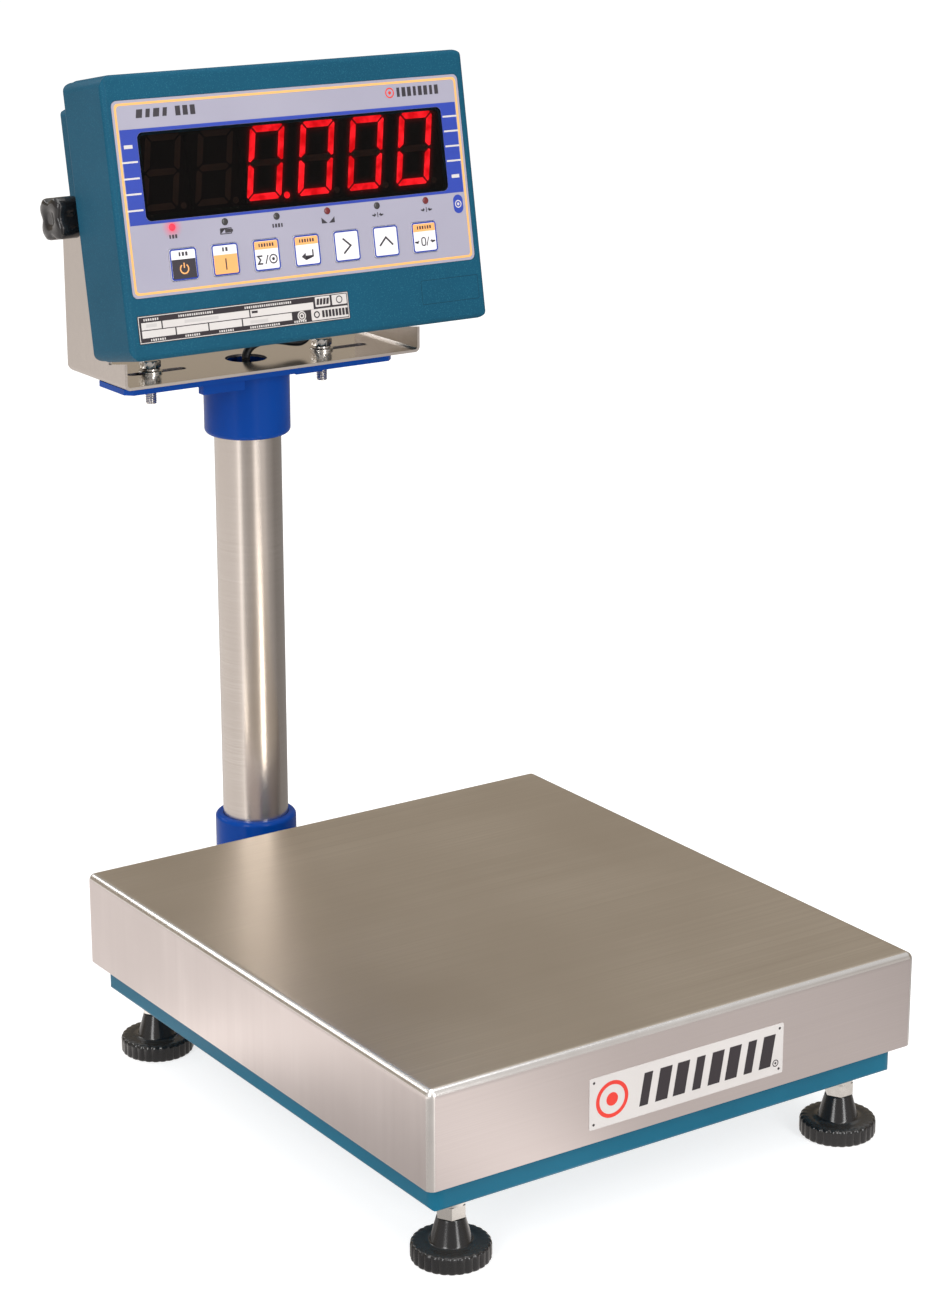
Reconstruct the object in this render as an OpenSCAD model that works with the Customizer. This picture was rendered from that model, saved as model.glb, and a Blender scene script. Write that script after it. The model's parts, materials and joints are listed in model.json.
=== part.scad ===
// Bench scale: a sheet-metal platform on a load cell, a column behind it and a tilting LED indicator.
// Millimetres, +Z up. The origin is on the floor, under the middle of the whole object's outline.

/* [Platform] */
// Width of the weighing pan, side to side
pan_w = 376; // [366:1:380]
// Depth of the weighing pan, front to back
pan_d = 428; // [416:1:430]
// Height of the pan's top above the floor
pan_top_z = 129.5; // [128:0.5:131]
// Height of the pan's skirt
skirt_h = 64.8; // [60:0.2:65]
// Thickness of the pan's sheet
pan_t = 1.5; // [1:0.1:2]
// Gap from the pan's outer edge to the base tray's side, all round
base_inset = 8.2; // [7:0.1:10]
// Height of the base tray's underside above the floor
base_z = 45.8; // [45.8:0.1:46.4]
// Height of the base tray's walls
base_h = 26.2; // [22:0.2:28]

/* [Feet] */
// Diameter of the knurled foot
foot_d = 50; // [44:1:54]
// Number of grip flutes round a foot
foot_flutes = 28; // [24:1:40]
// Foot centre in from the pan's side
foot_in_x = 35; // [33:0.5:40]
// Foot centre in from the pan's front and back
foot_in_y = 30; // [29:0.2:36]

/* [Column] */
// Distance of the column's axis behind the middle of the pan
column_y = 305; // [300:1:312]
// Outer diameter of the column tube
column_d = 48.3; // [48.3:0.1:48.6]
// Height of the cap plate's top, where the tilt bracket sits
cap_z = 450; // [450:1:470]

/* [Indicator] */
// Backward tilt of the indicator at rest, in degrees
head_tilt = 10.2; // [10:0.1:14]
// Height of the tilt pivot above the floor
pivot_z = 565; // [565:1:585]
// Width of the indicator's housing
head_w = 285; // [282:1:288]
// Height of the indicator's housing
head_h = 188; // [186:1:189]
// Distance from the tilt pivot forward to the indicator's face
face_d = 81; // [80:0.5:84]
// Number of display digits
digits = 6; // [4:1:6]

/* [Hidden] */
$fn = 48;
eps = 0.01;          // how far a cut runs past the face that it opens

// heights of the platform's stack, from the floor up
tray_t = 2;
tray_floor_z = base_z + tray_t;
bridge_h = 10;
cell_pad_h = 6;
cell_z = tray_floor_z + bridge_h + cell_pad_h;
cell_size = [40, 150, 30];
cell_slit = 0.3;
deck_pad_h = 4;
deck_z = cell_z + cell_size.z + deck_pad_h;
spine_t = 6;
rail_h = 20;
pad_h = pan_top_z - pan_t - (deck_z + spine_t + rail_h);
rail_y = 150;
pan_bottom_z = pan_top_z - skirt_h;
pan_r = 5;
cell_bolt_ys = [44, 63];
stop_x = 120;
stop_gap = 0.9;

// feet
foot_x = pan_w / 2 - foot_in_x;
foot_y = pan_d / 2 - foot_in_y;
foot_corners = [[-1, -1], [1, -1], [-1, 1], [1, 1]];
disc_h = 12;
cone_top_z = 28.8;
stud_r = 4.95;
boss_z = 37;
boss_r = 9;

// column
arm_w = 80;
arm_h = 14;
arm_t = 3;
arm_front_y = 125;
arm_rear_y = column_y + 33;
arm_top_z = tray_floor_z + arm_h;
socket_r = 30;
socket_top_z = 109;
tube_t = 2;
tube_top_z = cap_z - 10;
cap_plate_t = 4;
cap_r = 31;
cap_bottom_z = cap_z - 52;
cap_bore_r = column_d / 2 + 0.1;
bolt_xs = [-80, 60];
bolt_y = 300;
lead_r = 3;
lead_hole_r = 15;

// tilt bracket
bracket_w = 240;
bracket_t = 2;
bracket_y0 = 262;
bracket_y1 = 347;
pivot_r = 20;
slot_x = 75;
slot_len = 46;
slot_w = 8.6;

// indicator: drawn face up, x to the right, y up the face, z out of the face, from the tilt pivot
face_y = -5;
wall = 3;
seam_d = 34;
gasket_t = 0.6;
flange_d = 23;
box_w = 234;
box_h = 157;
box_back_d = -35;
door_t = 2;
recess = 0.8;
overlay_w = 273;
overlay_h = 129.5;
overlay_y = face_y + 12.1;
overlay_t = 0.6;
window_w = 240;
window_h = 58.3;
window_y = face_y + 26.1;
digit_pitch = 40;
digit_x = -2.6;
digit_y = face_y + 28.4;
led_pitch = 40.3;
led_y = face_y - 8.3;
key_pitch = 32;
key_w = 20.5;
key_h = 21.2;
key_y = face_y - 33.3;
key_gap = 0.35;
key_proud = 0.3;
label_size = [164.2, 18.8, 0.3];
label_at = [-53.5, face_y - 73.5];
screw_x = head_w / 2 - 8.5;
screw_rows = [-84, 0, 84];
gland_x = 45;
gland_back = 8;

// pan label
plate_size = [151, 34, 0.5];
plate_at = [3, 90.8];

// the whole object's middle, front to back, goes over the origin
front_y = -pan_d / 2 - plate_size.z;
back_y = column_y + (door_t - box_back_d + 1.5) * cos(head_tilt) + (face_y - 3) * sin(head_tilt);
box_back_y = column_y - box_back_d * cos(head_tilt) + (face_y + box_h / 2 - 3) * sin(head_tilt);
mid_y = (front_y + max(back_y, box_back_y)) / 2;

// cable routes, as points on the centre line
column_route = [
  [0, 75.2, 78], [0, 82, 77.6], [0, 89, 75.6], [0, 96, 72], [0, 103, 67.8], [0, 110, 63.6],
  [0, 116, 60], [0, 121.5, 57], [0, 127, 55.3], [0, 134, 54.8], [0, 144, 54.8], [0, 162, 54.8], [0, 180, 54.8], [0, 198, 54.8], [0, 216, 54.8],
  [0, 234, 54.8], [0, 252, 54.8], [0, 270, 54.8], [0, 281, 54.8], [0, 290, 55.3], [0, 297, 58], [0, 302, 63.5],
  [0, 304.5, 71], [0, 305, 79], [0, 305, 90], [0, 305, 108], [0, 305, 126], [0, 305, 144], [0, 305, 162],
  [0, 305, 180], [0, 305, 198], [0, 305, 216], [0, 305, 234], [0, 305, 252], [0, 305, 270],
  [0, 305, 288], [0, 305, 306], [0, 305, 324], [0, 305, 342], [0, 305, 360], [0, 305, 378],
  [0, 305, 396], [0, 305, 414], [0, 305, 432], [0, 305, 446], [0, 305, 451.7]
];
loop_route = [
  [0, 305, 452.1], [1, 305, 456], [5, 305, 460], [12, 304.5, 462.5], [20, 303.5, 463],
  [28, 302, 462], [35, 300, 460.6], [40.5, 297.8, 460.4], [44, 296.2, 462.4], [45, 295.6, 465],
  [45, 295.75, 467.9]
];

// ---- shared shapes ----

// rectangle with round corners
module rrect(w, h, r) {
  square([w - 2 * r, h], center = true);
  square([w, h - 2 * r], center = true);
  for (sx = [-1, 1], sy = [-1, 1]) translate([sx * (w / 2 - r), sy * (h / 2 - r)]) circle(r);
}

// outline standing on y = 0 whose two upper corners are round
module top_round(w, h, r) {
  translate([-w / 2, 0]) square([w, h - r]);
  translate([-w / 2 + r, 0]) square([w - 2 * r, h]);
  for (s = [-1, 1]) translate([s * (w / 2 - r), h - r]) circle(r);
}

// block standing on z = 0 with round upright corners and round top edges
module soft_box(w, d, h, r_plan, r_edge) {
  intersection() {
    linear_extrude(h) rrect(w, d, r_plan);
    rotate([90, 0, 0]) linear_extrude(d + 2, center = true) top_round(w, h, r_edge);
    rotate([90, 0, 90]) linear_extrude(w + 2, center = true) top_round(d, h, r_edge);
  }
}

// hexagon across flats
module hex(flats, h) {
  cylinder(d = flats / cos(30), h = h, $fn = 6);
}

function unit(v) = v / norm(v);

function tangent(p, i) = unit(p[min(i + 1, len(p) - 1)] - p[max(i - 1, 0)]);

// one ring of a swept tube, square to the route
function ring(c, t, r, n) =
  let (u = unit(cross(t, [0.02, 1, 0.03])), v = cross(t, u))
  [for (k = [0:n - 1]) c + r * (cos(360 * k / n) * u + sin(360 * k / n) * v)];

// round cable along a route, with flat ends square to first_dir and last_dir
module cable(route, r, n, first_dir, last_dir) {
  last = len(route) - 1;
  dirs = [for (i = [0:last]) i == 0 ? first_dir : i == last ? last_dir : tangent(route, i)];
  pts = [for (i = [0:last]) each ring(route[i], dirs[i], r, n)];
  sides = [for (i = [0:last - 1], k = [0:n - 1])
    [i * n + k, i * n + (k + 1) % n, (i + 1) * n + (k + 1) % n, (i + 1) * n + k]];
  start = [for (k = [0:n - 1]) n - 1 - k];
  finish = [for (k = [0:n - 1]) last * n + k];
  polyhedron(points = pts, faces = concat([start], sides, [finish]), convexity = 6);
}

// everything is drawn from the middle of the pan, then moved over the origin
module from_pan() {
  translate([0, -mid_y, 0]) children();
}

// the indicator's own place: pivot at the origin, face towards +Z
module on_face() {
  from_pan() translate([0, column_y, pivot_z]) rotate([90 - head_tilt, 0, 0]) children();
}

// ---- base ----

module base_tray() {
  w = pan_w - 2 * base_inset;
  d = pan_d - 2 * base_inset;
  color([0.12, 0.45, 0.55]) from_pan() difference() {
    translate([0, 0, base_z + base_h]) mirror([0, 0, 1]) soft_box(w, d, base_h, 8, 3);
    translate([0, 0, base_z + base_h + 1]) mirror([0, 0, 1])
      soft_box(w - 2 * tray_t, d - 2 * tray_t, base_h + 1 - tray_t, 6, 1);
    for (c = foot_corners) translate([c.x * foot_x, c.y * foot_y, base_z - 1])
      cylinder(r = boss_r + 0.05, h = tray_t + 2);
    for (y = cell_bolt_ys) translate([0, y, base_z - 1]) cylinder(r = 4.1, h = tray_t + 2);
    for (x = [-28, 28], y = [140, 185]) translate([x, y, base_z - 1]) cylinder(r = 3.1, h = tray_t + 2);
    translate([-arm_w / 2 - 0.4, d / 2 - 10, tray_floor_z]) cube([arm_w + 0.8, 20, base_h]);
  }
}

// folded channel that carries the fixed end of the load cell, with its spacer pad welded on
module cell_bridge() {
  w = 90;
  t = 2.5;
  y0 = -190;
  y1 = 112;
  color("silver") from_pan() difference() {
    union() {
      translate([-w / 2, y0, tray_floor_z]) cube([w, y1 - y0, bridge_h]);
      translate([-20, 34, tray_floor_z + bridge_h]) cube([40, 41, cell_pad_h]);
    }
    translate([-w / 2 + t, y0 - 1, tray_floor_z - 1]) cube([w - 2 * t, y1 - y0 + 2, bridge_h - t + 1]);
    for (y = cell_bolt_ys) translate([0, y, tray_floor_z]) cylinder(r = 4.1, h = 30);
  }
}

// weld-in bosses and the jam nuts under them
module foot_nuts() {
  color([0.78, 0.78, 0.76]) from_pan() for (c = foot_corners)
    translate([c.x * foot_x, c.y * foot_y, 0]) difference() {
      union() {
        translate([0, 0, boss_z + 0.1]) cylinder(r = boss_r, h = 17);
        translate([0, 0, cone_top_z + 0.2]) hex(17, 8);
      }
      translate([0, 0, boss_z - 0.01]) cylinder(r = stud_r + 0.05, h = 20);
      translate([0, 0, cone_top_z - 1]) cylinder(r = stud_r + 0.05, h = 12);
    }
}

// half of the load cell, cut through the middle of its thin webs: s is 1 at the fixed end, -1 at the live end
module cell_half(s) {
  color([0.8, 0.81, 0.83]) from_pan() translate([0, 0, cell_z]) difference() {
    translate([-cell_size.x / 2, s > 0 ? cell_slit / 2 : -cell_size.y / 2, 0])
      cube([cell_size.x, (cell_size.y - cell_slit) / 2, cell_size.z]);
    translate([0, s * 16, cell_size.z / 2]) rotate([0, 90, 0])
      cylinder(r = 11, h = cell_size.x + 2, center = true);
    translate([0, 0, cell_size.z / 2]) cube([cell_size.x + 2, 32, 5], center = true);
    for (y = cell_bolt_ys) translate([0, s * y, -1]) cylinder(r = 4.05, h = cell_size.z + 2);
  }
}

module load_cell() { cell_half(1); }
module load_cell_live_end() { cell_half(-1); }

// socket-head bolts that hold the load cell, and the hexagon bolts that hold the arm
module base_bolts() {
  color("silver") from_pan() {
    for (y = cell_bolt_ys) translate([0, y, 0]) {
      translate([0, 0, base_z - 6]) difference() {
        cylinder(r = 6.5, h = 6);
        translate([0, 0, -1]) hex(6, 4);
      }
      translate([0, 0, base_z - eps]) cylinder(r = 4, h = 38);
    }
    for (x = [-28, 28], y = [140, 185]) translate([x, y, 0]) {
      translate([0, 0, arm_top_z]) hex(10, 4);
      translate([0, 0, base_z - 7]) cylinder(r = 3, h = arm_top_z - base_z + 7 + eps);
      translate([0, 0, base_z - 5]) hex(10, 5);
    }
  }
}

module overload_stops() {
  top = deck_z + spine_t - stop_gap;
  color("dimgray") from_pan() for (sx = [-1, 1], sy = [-1, 1])
    translate([sx * stop_x, sy * rail_y, tray_floor_z]) {
      hex(13, 8);
      cylinder(r = 4, h = top - tray_floor_z - 5);
      translate([0, 0, top - tray_floor_z - 5.3]) hex(13, 5.3);
    }
}

// box-section arm with the column's socket welded on top
module column_arm() {
  color([0, 0.26, 0.62]) from_pan() difference() {
    union() {
      translate([-arm_w / 2, arm_front_y, tray_floor_z]) cube([arm_w, arm_rear_y - arm_front_y, arm_h]);
      translate([0, column_y, arm_top_z]) rotate_extrude() {
        h = socket_top_z - arm_top_z;
        translate([10, 0]) square([socket_r - 10, h - 3]);
        translate([10, 0]) square([socket_r - 13, h]);
        translate([socket_r - 3, h - 3]) circle(3);
      }
    }
    translate([-arm_w / 2 + arm_t, arm_front_y - 1, tray_floor_z + arm_t])
      cube([arm_w - 2 * arm_t, arm_rear_y - arm_front_y + 1 - arm_t, arm_h - 2 * arm_t]);
    translate([0, column_y, arm_top_z]) cylinder(r = column_d / 2 + 0.25, h = 60);
    translate([0, column_y, arm_top_z - arm_t - 1]) cylinder(r = 16, h = 10);
    for (a = [60, 120]) translate([0, column_y, 90]) rotate([0, 90, a]) cylinder(r = 4.05, h = 40);
    for (x = [-28, 28], y = [140, 185]) translate([x, y, tray_floor_z - 1]) cylinder(r = 3.1, h = 20);
  }
}

// two socket-head grub screws that clamp a socket to the tube
module grub_screws(z, outer_r, bore_r) {
  for (a = [60, 120]) translate([0, column_y, z]) rotate([0, 90, a])
    translate([0, 0, bore_r + 0.02]) difference() {
      cylinder(r = 4, h = outer_r - bore_r);
      translate([0, 0, 2]) hex(4, 20);
    }
}

module column_screws() {
  color("dimgray") from_pan() grub_screws(90, socket_r, column_d / 2);
}

module column_tube() {
  color([0.72, 0.70, 0.67]) from_pan() translate([0, column_y, arm_top_z]) difference() {
    cylinder(d = column_d, h = tube_top_z - arm_top_z);
    translate([0, 0, -1]) cylinder(d = column_d - 2 * tube_t, h = tube_top_z);
  }
}

// rubber plug in the tube's mouth, slit where the lead comes through
module column_grommet() {
  color([0.05, 0.05, 0.05]) from_pan() translate([0, column_y, tube_top_z - 12]) difference() {
    union() {
      cylinder(r = column_d / 2 - tube_t, h = 12);
      translate([0, 0, 12]) cylinder(r = column_d / 2, h = 2);
    }
    translate([0, 0, -1]) cylinder(r = lead_r + 0.15, h = 20);
  }
}

module column_lead() {
  color([0.06, 0.06, 0.06]) from_pan() cable(column_route, lead_r, 10, [0, 1, 0], [0, 0, 1]);
}

// round bubble level on the arm
module spirit_level() {
  color([0.55, 0.75, 0.3]) from_pan() translate([0, 245, arm_top_z]) {
    difference() {
      cylinder(r = 14, h = 8);
      translate([0, 0, 1.5]) cylinder(r = 11, h = 10);
    }
    translate([0, 0, 1.5]) cylinder(r = 10.9, h = 6);
  }
}

// ---- feet ----

module foot_stud(c) {
  color("silver") from_pan() translate([c.x * foot_x, c.y * foot_y, 8.3])
    cylinder(r = stud_r, h = 50);
}

module foot_pad(c) {
  color([0.05, 0.05, 0.05]) from_pan() translate([c.x * foot_x, c.y * foot_y, 0]) difference() {
    union() {
      cylinder(d1 = foot_d - 3, d2 = foot_d, h = 1.5);
      translate([0, 0, 1.5]) cylinder(d = foot_d, h = disc_h - 3.5);
      translate([0, 0, disc_h - 2]) cylinder(d1 = foot_d, d2 = foot_d - 4, h = 2);
      translate([0, 0, disc_h - eps]) cylinder(r1 = 13, r2 = 8, h = cone_top_z - disc_h + eps);
    }
    for (k = [0:foot_flutes - 1]) rotate(360 * k / foot_flutes)
      translate([foot_d / 2 + 0.6, 0, -1]) cylinder(r = 1.5, h = disc_h + 2, $fn = 16);
    translate([0, 0, 8]) cylinder(r = stud_r + 0.1, h = 30);
  }
}

module foot_fl_stud() { foot_stud(foot_corners[0]); }
module foot_fr_stud() { foot_stud(foot_corners[1]); }
module foot_rl_stud() { foot_stud(foot_corners[2]); }
module foot_rr_stud() { foot_stud(foot_corners[3]); }
module foot_fl_pad() { foot_pad(foot_corners[0]); }
module foot_fr_pad() { foot_pad(foot_corners[1]); }
module foot_rl_pad() { foot_pad(foot_corners[2]); }
module foot_rr_pad() { foot_pad(foot_corners[3]); }

// ---- weighing deck ----

module cell_bolts_upper() {
  color("dimgray") from_pan() for (y = cell_bolt_ys) translate([0, -y, 0]) {
    translate([0, 0, deck_z + spine_t]) difference() {
      cylinder(r = 6.5, h = 8);
      translate([0, 0, 4]) hex(6, 5);
    }
    translate([0, 0, deck_z + spine_t + eps - 32]) cylinder(r = 4, h = 32);
  }
}

// spine plate with two cross tubes, and the pad that meets the load cell
module deck_frame() {
  tube = 2;
  color([0.12, 0.45, 0.55]) from_pan() difference() {
    union() {
      translate([-50, -170, deck_z]) cube([100, 340, spine_t]);
      translate([-20, -75, deck_z - deck_pad_h]) cube([40, 41, deck_pad_h]);
      for (s = [-1, 1]) translate([-160, s * rail_y - 15, deck_z + spine_t]) difference() {
        cube([320, 30, rail_h]);
        translate([-1, tube, tube]) cube([322, 30 - 2 * tube, rail_h - 2 * tube]);
      }
    }
    for (y = cell_bolt_ys) translate([0, -y, deck_z - 10]) cylinder(r = 4.1, h = 20);
  }
}

module deck_pads() {
  color([0.08, 0.08, 0.08]) from_pan() for (sx = [-1, 1], sy = [-1, 1])
    translate([sx * 140, sy * rail_y, deck_z + spine_t + rail_h]) cylinder(r = 12, h = pad_h);
}

module pan() {
  color([0.72, 0.70, 0.67]) from_pan() translate([0, 0, pan_bottom_z]) difference() {
    soft_box(pan_w, pan_d, skirt_h, pan_r, pan_r);
    translate([0, 0, -1])
      soft_box(pan_w - 2 * pan_t, pan_d - 2 * pan_t, skirt_h + 1 - pan_t, pan_r - pan_t, pan_r - pan_t);
  }
}

module pan_label() {
  color("whitesmoke") from_pan() translate([plate_at.x, -pan_d / 2, plate_at.y]) rotate([90, 0, 0])
    linear_extrude(plate_size.z) rrect(plate_size.x, plate_size.y, 1.2);
}

// ---- swivelling cap and tilt bracket ----

module cap_socket() {
  color([0, 0.26, 0.62]) from_pan() translate([0, column_y, 0]) difference() {
    rotate_extrude() {
      h = cap_z - cap_plate_t - cap_bottom_z;
      translate([cap_bore_r, cap_bottom_z]) square([cap_r - cap_bore_r - 4, h]);
      translate([cap_bore_r, cap_bottom_z + 4]) square([cap_r - cap_bore_r, h - 4]);
      translate([cap_r - 4, cap_bottom_z + 4]) circle(4);
    }
    translate([0, 0, cap_bottom_z - 5]) cylinder(r = cap_bore_r, h = 70);
    for (a = [60, 120]) translate([0, 0, 424]) rotate([0, 90, a]) cylinder(r = 4.05, h = 40);
  }
}

// plate with cut-back rear corners, two tapped pads and two stiffening bars under it
module cap_plate() {
  z = cap_z - cap_plate_t;
  color([0, 0.26, 0.62]) from_pan() difference() {
    union() {
      translate([0, 0, z]) linear_extrude(cap_plate_t) polygon([
        [-113, 263], [94, 263], [99, 268], [99, 304], [60, 347], [-74, 347], [-118, 304], [-118, 268]
      ]);
      translate([-57, 266, z - 7]) cube([33, 7, 7 + eps]);
      translate([cap_r + 0.5, 288, z - 7]) cube([22, 8, 7 + eps]);
      for (x = bolt_xs) translate([x, bolt_y, z - 3]) cylinder(r = 7, h = 3 + eps);
    }
    translate([0, column_y, z - 10]) cylinder(r = lead_hole_r, h = 20);
    for (x = bolt_xs) translate([x, bolt_y, z - 10]) cylinder(r = 4.05, h = 20);
  }
}

module cap_screws() {
  color("dimgray") from_pan() grub_screws(424, cap_r, cap_bore_r);
}

// U-shaped bracket bent from one sheet
module tilt_bracket() {
  r = 4;
  h = pivot_z + pivot_r - cap_z;
  color([0.75, 0.74, 0.72]) from_pan() difference() {
    intersection() {
      translate([0, bracket_y1, cap_z]) rotate([90, 0, 0]) linear_extrude(bracket_y1 - bracket_y0)
        difference() {
          translate([0, h]) mirror([0, 1]) top_round(bracket_w, h, r);
          translate([0, h + bracket_t]) mirror([0, 1])
            top_round(bracket_w - 2 * bracket_t, h, r - bracket_t);
        }
      rotate([90, 0, 90]) linear_extrude(bracket_w + 2, center = true) {
        c = pivot_r * sin(45);
        polygon([
          [bracket_y0, cap_z - 1], [bracket_y1 - 4, cap_z - 1], [bracket_y1, cap_z + 4],
          [bracket_y1, pivot_z + 2 * c - (bracket_y1 - column_y)], [column_y + c, pivot_z + c],
          [column_y, pivot_z], [column_y - pivot_r, pivot_z], [column_y - pivot_r, cap_z + 14.5],
          [bracket_y0, cap_z + 18.5]
        ]);
        translate([column_y, pivot_z]) circle(pivot_r);
      }
    }
    translate([0, column_y, pivot_z]) rotate([0, 90, 0]) cylinder(r = 3.5, h = 260, center = true);
    translate([0, column_y, cap_z - 1]) cylinder(r = lead_hole_r, h = 10);
    for (s = [-1, 1]) translate([s * slot_x, bolt_y, cap_z - 1]) linear_extrude(10) {
      square([slot_len - slot_w, slot_w], center = true);
      for (e = [-1, 1]) translate([e * (slot_len - slot_w) / 2, 0]) circle(slot_w / 2);
    }
  }
}

// hexagon bolts, each on a spring washer and a flat washer
module bracket_bolts() {
  z = cap_z + bracket_t;
  color([0.7, 0.68, 0.62]) from_pan() for (x = bolt_xs) translate([x, bolt_y, 0]) {
    translate([0, 0, z]) cylinder(r = 8.5, h = 1.6);
    translate([0, 0, z + 1.6]) cylinder(r = 6.8, h = 1.9);
    translate([0, 0, z + 3.5]) hex(13, 5.3);
    translate([0, 0, z - 22]) cylinder(r = 4, h = 26);
  }
}

module lead_loop() {
  color([0.06, 0.06, 0.06]) from_pan()
    cable(loop_route, lead_r, 10, [0, 0, 1], [0, sin(head_tilt), cos(head_tilt)]);
}

// ---- indicator ----

module front_shell() {
  depth = face_d - seam_d - gasket_t / 2;
  color([0.16, 0.41, 0.50]) on_face() translate([0, 0, seam_d + gasket_t / 2]) difference() {
    union() {
      difference() {
        translate([0, face_y, 0]) soft_box(head_w, head_h, depth, 8, 3.5);
        translate([0, face_y, -1])
          soft_box(head_w - 2 * wall, head_h - 2 * wall, depth - wall + 1, 5, 1.5);
      }
      for (sx = [-1, 1], y = screw_rows) translate([sx * screw_x, face_y + y, 0])
        cylinder(r = 5.6, h = depth - 1);
      for (sx = [-1, 1], sy = [-1, 1]) translate([sx * 121, window_y + sy * 33, 30.7])
        cylinder(r = 3.5, h = depth - 32);
      for (sx = [-1, 1]) translate([sx * 114, key_y, 39.5]) cylinder(r = 3, h = depth - 41);
    }
    translate([0, overlay_y, depth - recess]) linear_extrude(2) rrect(overlay_w + 0.6, overlay_h + 0.6, 4.3);
    translate([0, window_y, depth - 10]) linear_extrude(12) rrect(window_w - 4, window_h - 4, 3);
    for (k = [0:6]) translate([(k - 3) * key_pitch, key_y, depth - 10]) linear_extrude(12)
      rrect(key_w + 2 * key_gap, key_h + 2 * key_gap, 2.3);
    for (sx = [-1, 1], y = screw_rows) translate([sx * screw_x, face_y + y, -1]) cylinder(r = 2, h = 16);
  }
}

// flange that meets the front shell, and the box behind it that holds the battery
module rear_shell() {
  flange = seam_d - gasket_t / 2 - flange_d;
  color([0.15, 0.37, 0.45]) on_face() difference() {
    union() {
      difference() {
        union() {
          translate([0, face_y, flange_d + flange]) mirror([0, 0, 1])
            soft_box(head_w - 1.2, head_h - 1.2, flange, 8, 2.5);
          translate([0, face_y, flange_d + 1]) mirror([0, 0, 1])
            soft_box(box_w, box_h, flange_d + 1 - box_back_d, 6, 3);
        }
        translate([0, face_y, flange_d + wall])
          linear_extrude(flange) rrect(head_w - 2 * wall - 1, head_h - 2 * wall - 1, 5);
        translate([0, face_y, flange_d + wall + 1]) mirror([0, 0, 1])
          soft_box(box_w - 2 * wall, box_h - 2 * wall, flange_d + 1 - box_back_d, 3, 1);
      }
      for (sx = [-1, 1], y = screw_rows) translate([sx * screw_x, face_y + y, flange_d + 1])
        cylinder(r = 5.6, h = flange - 1);
      for (s = [-1, 1]) rotate([0, s * 90, 0]) translate([0, 0, box_w / 2 - 14]) cylinder(r = 8, h = 13);
    }
    for (sx = [-1, 1], y = screw_rows) translate([sx * screw_x, face_y + y, flange_d - 1]) {
      cylinder(r = 2.2, h = 20);
      cylinder(r = 4, h = 3.6);
    }
    for (s = [-1, 1]) rotate([0, s * 90, 0]) translate([0, 0, box_w / 2 - 15]) cylinder(r = 5, h = 20);
    translate([-57.5, -45, box_back_d - 1]) linear_extrude(wall + 2) rrect(96, 62, 3);
    translate([gland_x, face_y - box_h / 2 - 1, -gland_back]) rotate([-90, 0, 0]) cylinder(r = 6.05, h = 6);
  }
}

module shell_gasket() {
  color([0.05, 0.05, 0.05]) on_face() translate([0, face_y, seam_d - gasket_t / 2]) linear_extrude(gasket_t)
    difference() {
      rrect(head_w - 2.6, head_h - 2.6, 6.8);
      rrect(head_w - 5.6, head_h - 5.6, 5);
    }
}

module case_screws() {
  color("silver") on_face() for (sx = [-1, 1], y = screw_rows)
    translate([sx * screw_x, face_y + y, flange_d]) {
      difference() {
        cylinder(r = 3.8, h = 2.5);
        for (a = [0, 90]) rotate(a) cube([5, 1.1, 2.4], center = true);
      }
      translate([0, 0, 2.5 - eps]) cylinder(r = 1.95, h = 20);
    }
}

module overlay() {
  color([0.78, 0.77, 0.83]) on_face() translate([0, 0, face_d - recess]) linear_extrude(overlay_t)
    difference() {
      translate([0, overlay_y]) rrect(overlay_w, overlay_h, 4);
      translate([0, window_y]) rrect(window_w, window_h, 4);
      for (k = [0:5]) translate([(k - 2.5) * led_pitch - 0.8, led_y]) circle(2.45);
      for (k = [0:6]) translate([(k - 3) * key_pitch, key_y])
        rrect(key_w + 2 * key_gap, key_h + 2 * key_gap, 2.3);
    }
}

module display_window() {
  color([0.08, 0.03, 0.03]) on_face() translate([0, window_y, face_d - recess])
    linear_extrude(0.7) rrect(window_w, window_h, 4);
}

module indicator_lenses() {
  color([0.35, 0.05, 0.05]) on_face() for (k = [0:5])
    translate([(k - 2.5) * led_pitch - 0.8, led_y, face_d - recess]) cylinder(r = 2.4, h = 0.8);
}

// seven-segment LED modules on the display board
module led_digits() {
  color([0.15, 0.05, 0.05]) on_face() for (k = [0:digits - 1])
    translate([(k - (digits - 1) / 2) * digit_pitch + digit_x - 19, digit_y - 27, 65]) cube([38, 50, 11.8]);
}

module display_board() {
  color([0.1, 0.4, 0.2]) on_face() translate([-128, window_y - 38, 63.4]) cube([256, 76, 1.6]);
}

// board behind the keys with one short-travel switch under each
module key_switches() {
  color([0.1, 0.4, 0.2]) on_face() {
    translate([-118, key_y - 12, 72.2]) cube([236, 24, 1.6]);
    for (k = [0:6]) translate([(k - 3) * key_pitch, key_y, 73.8 - eps]) {
      translate([-3, -3, 0]) cube([6, 6, 2.5]);
      cylinder(r = 1.7, h = 3.5);
    }
  }
}

module main_board() {
  color([0.1, 0.4, 0.2]) on_face() {
    translate([-105, -65, 45]) cube([210, 120, 1.6]);
    for (sx = [-1, 1], y = [-10, 50]) translate([sx * 95, y, 46.6 - eps]) cylinder(r = 3, h = 16.8 + eps);
    for (x = [-80, -50, -20]) translate([x, -52, 46.6 - eps]) cube([20, 8, 10]);
    translate([10, -30, 46.6 - eps]) cube([24, 24, 3]);
    translate([-60, 0, 46.6 - eps]) cube([36, 14, 4]);
    translate([70, -58, 46.6 - eps]) cube([18, 26, 3]);
  }
}

module battery() {
  color([0.12, 0.12, 0.13]) on_face() {
    translate([-108, -80.4, -31]) cube([100, 66, 47]);
    for (x = [-96, -20]) translate([x, -14.4 - eps, -24]) cube([5, 5, 8]);
  }
}

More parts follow.
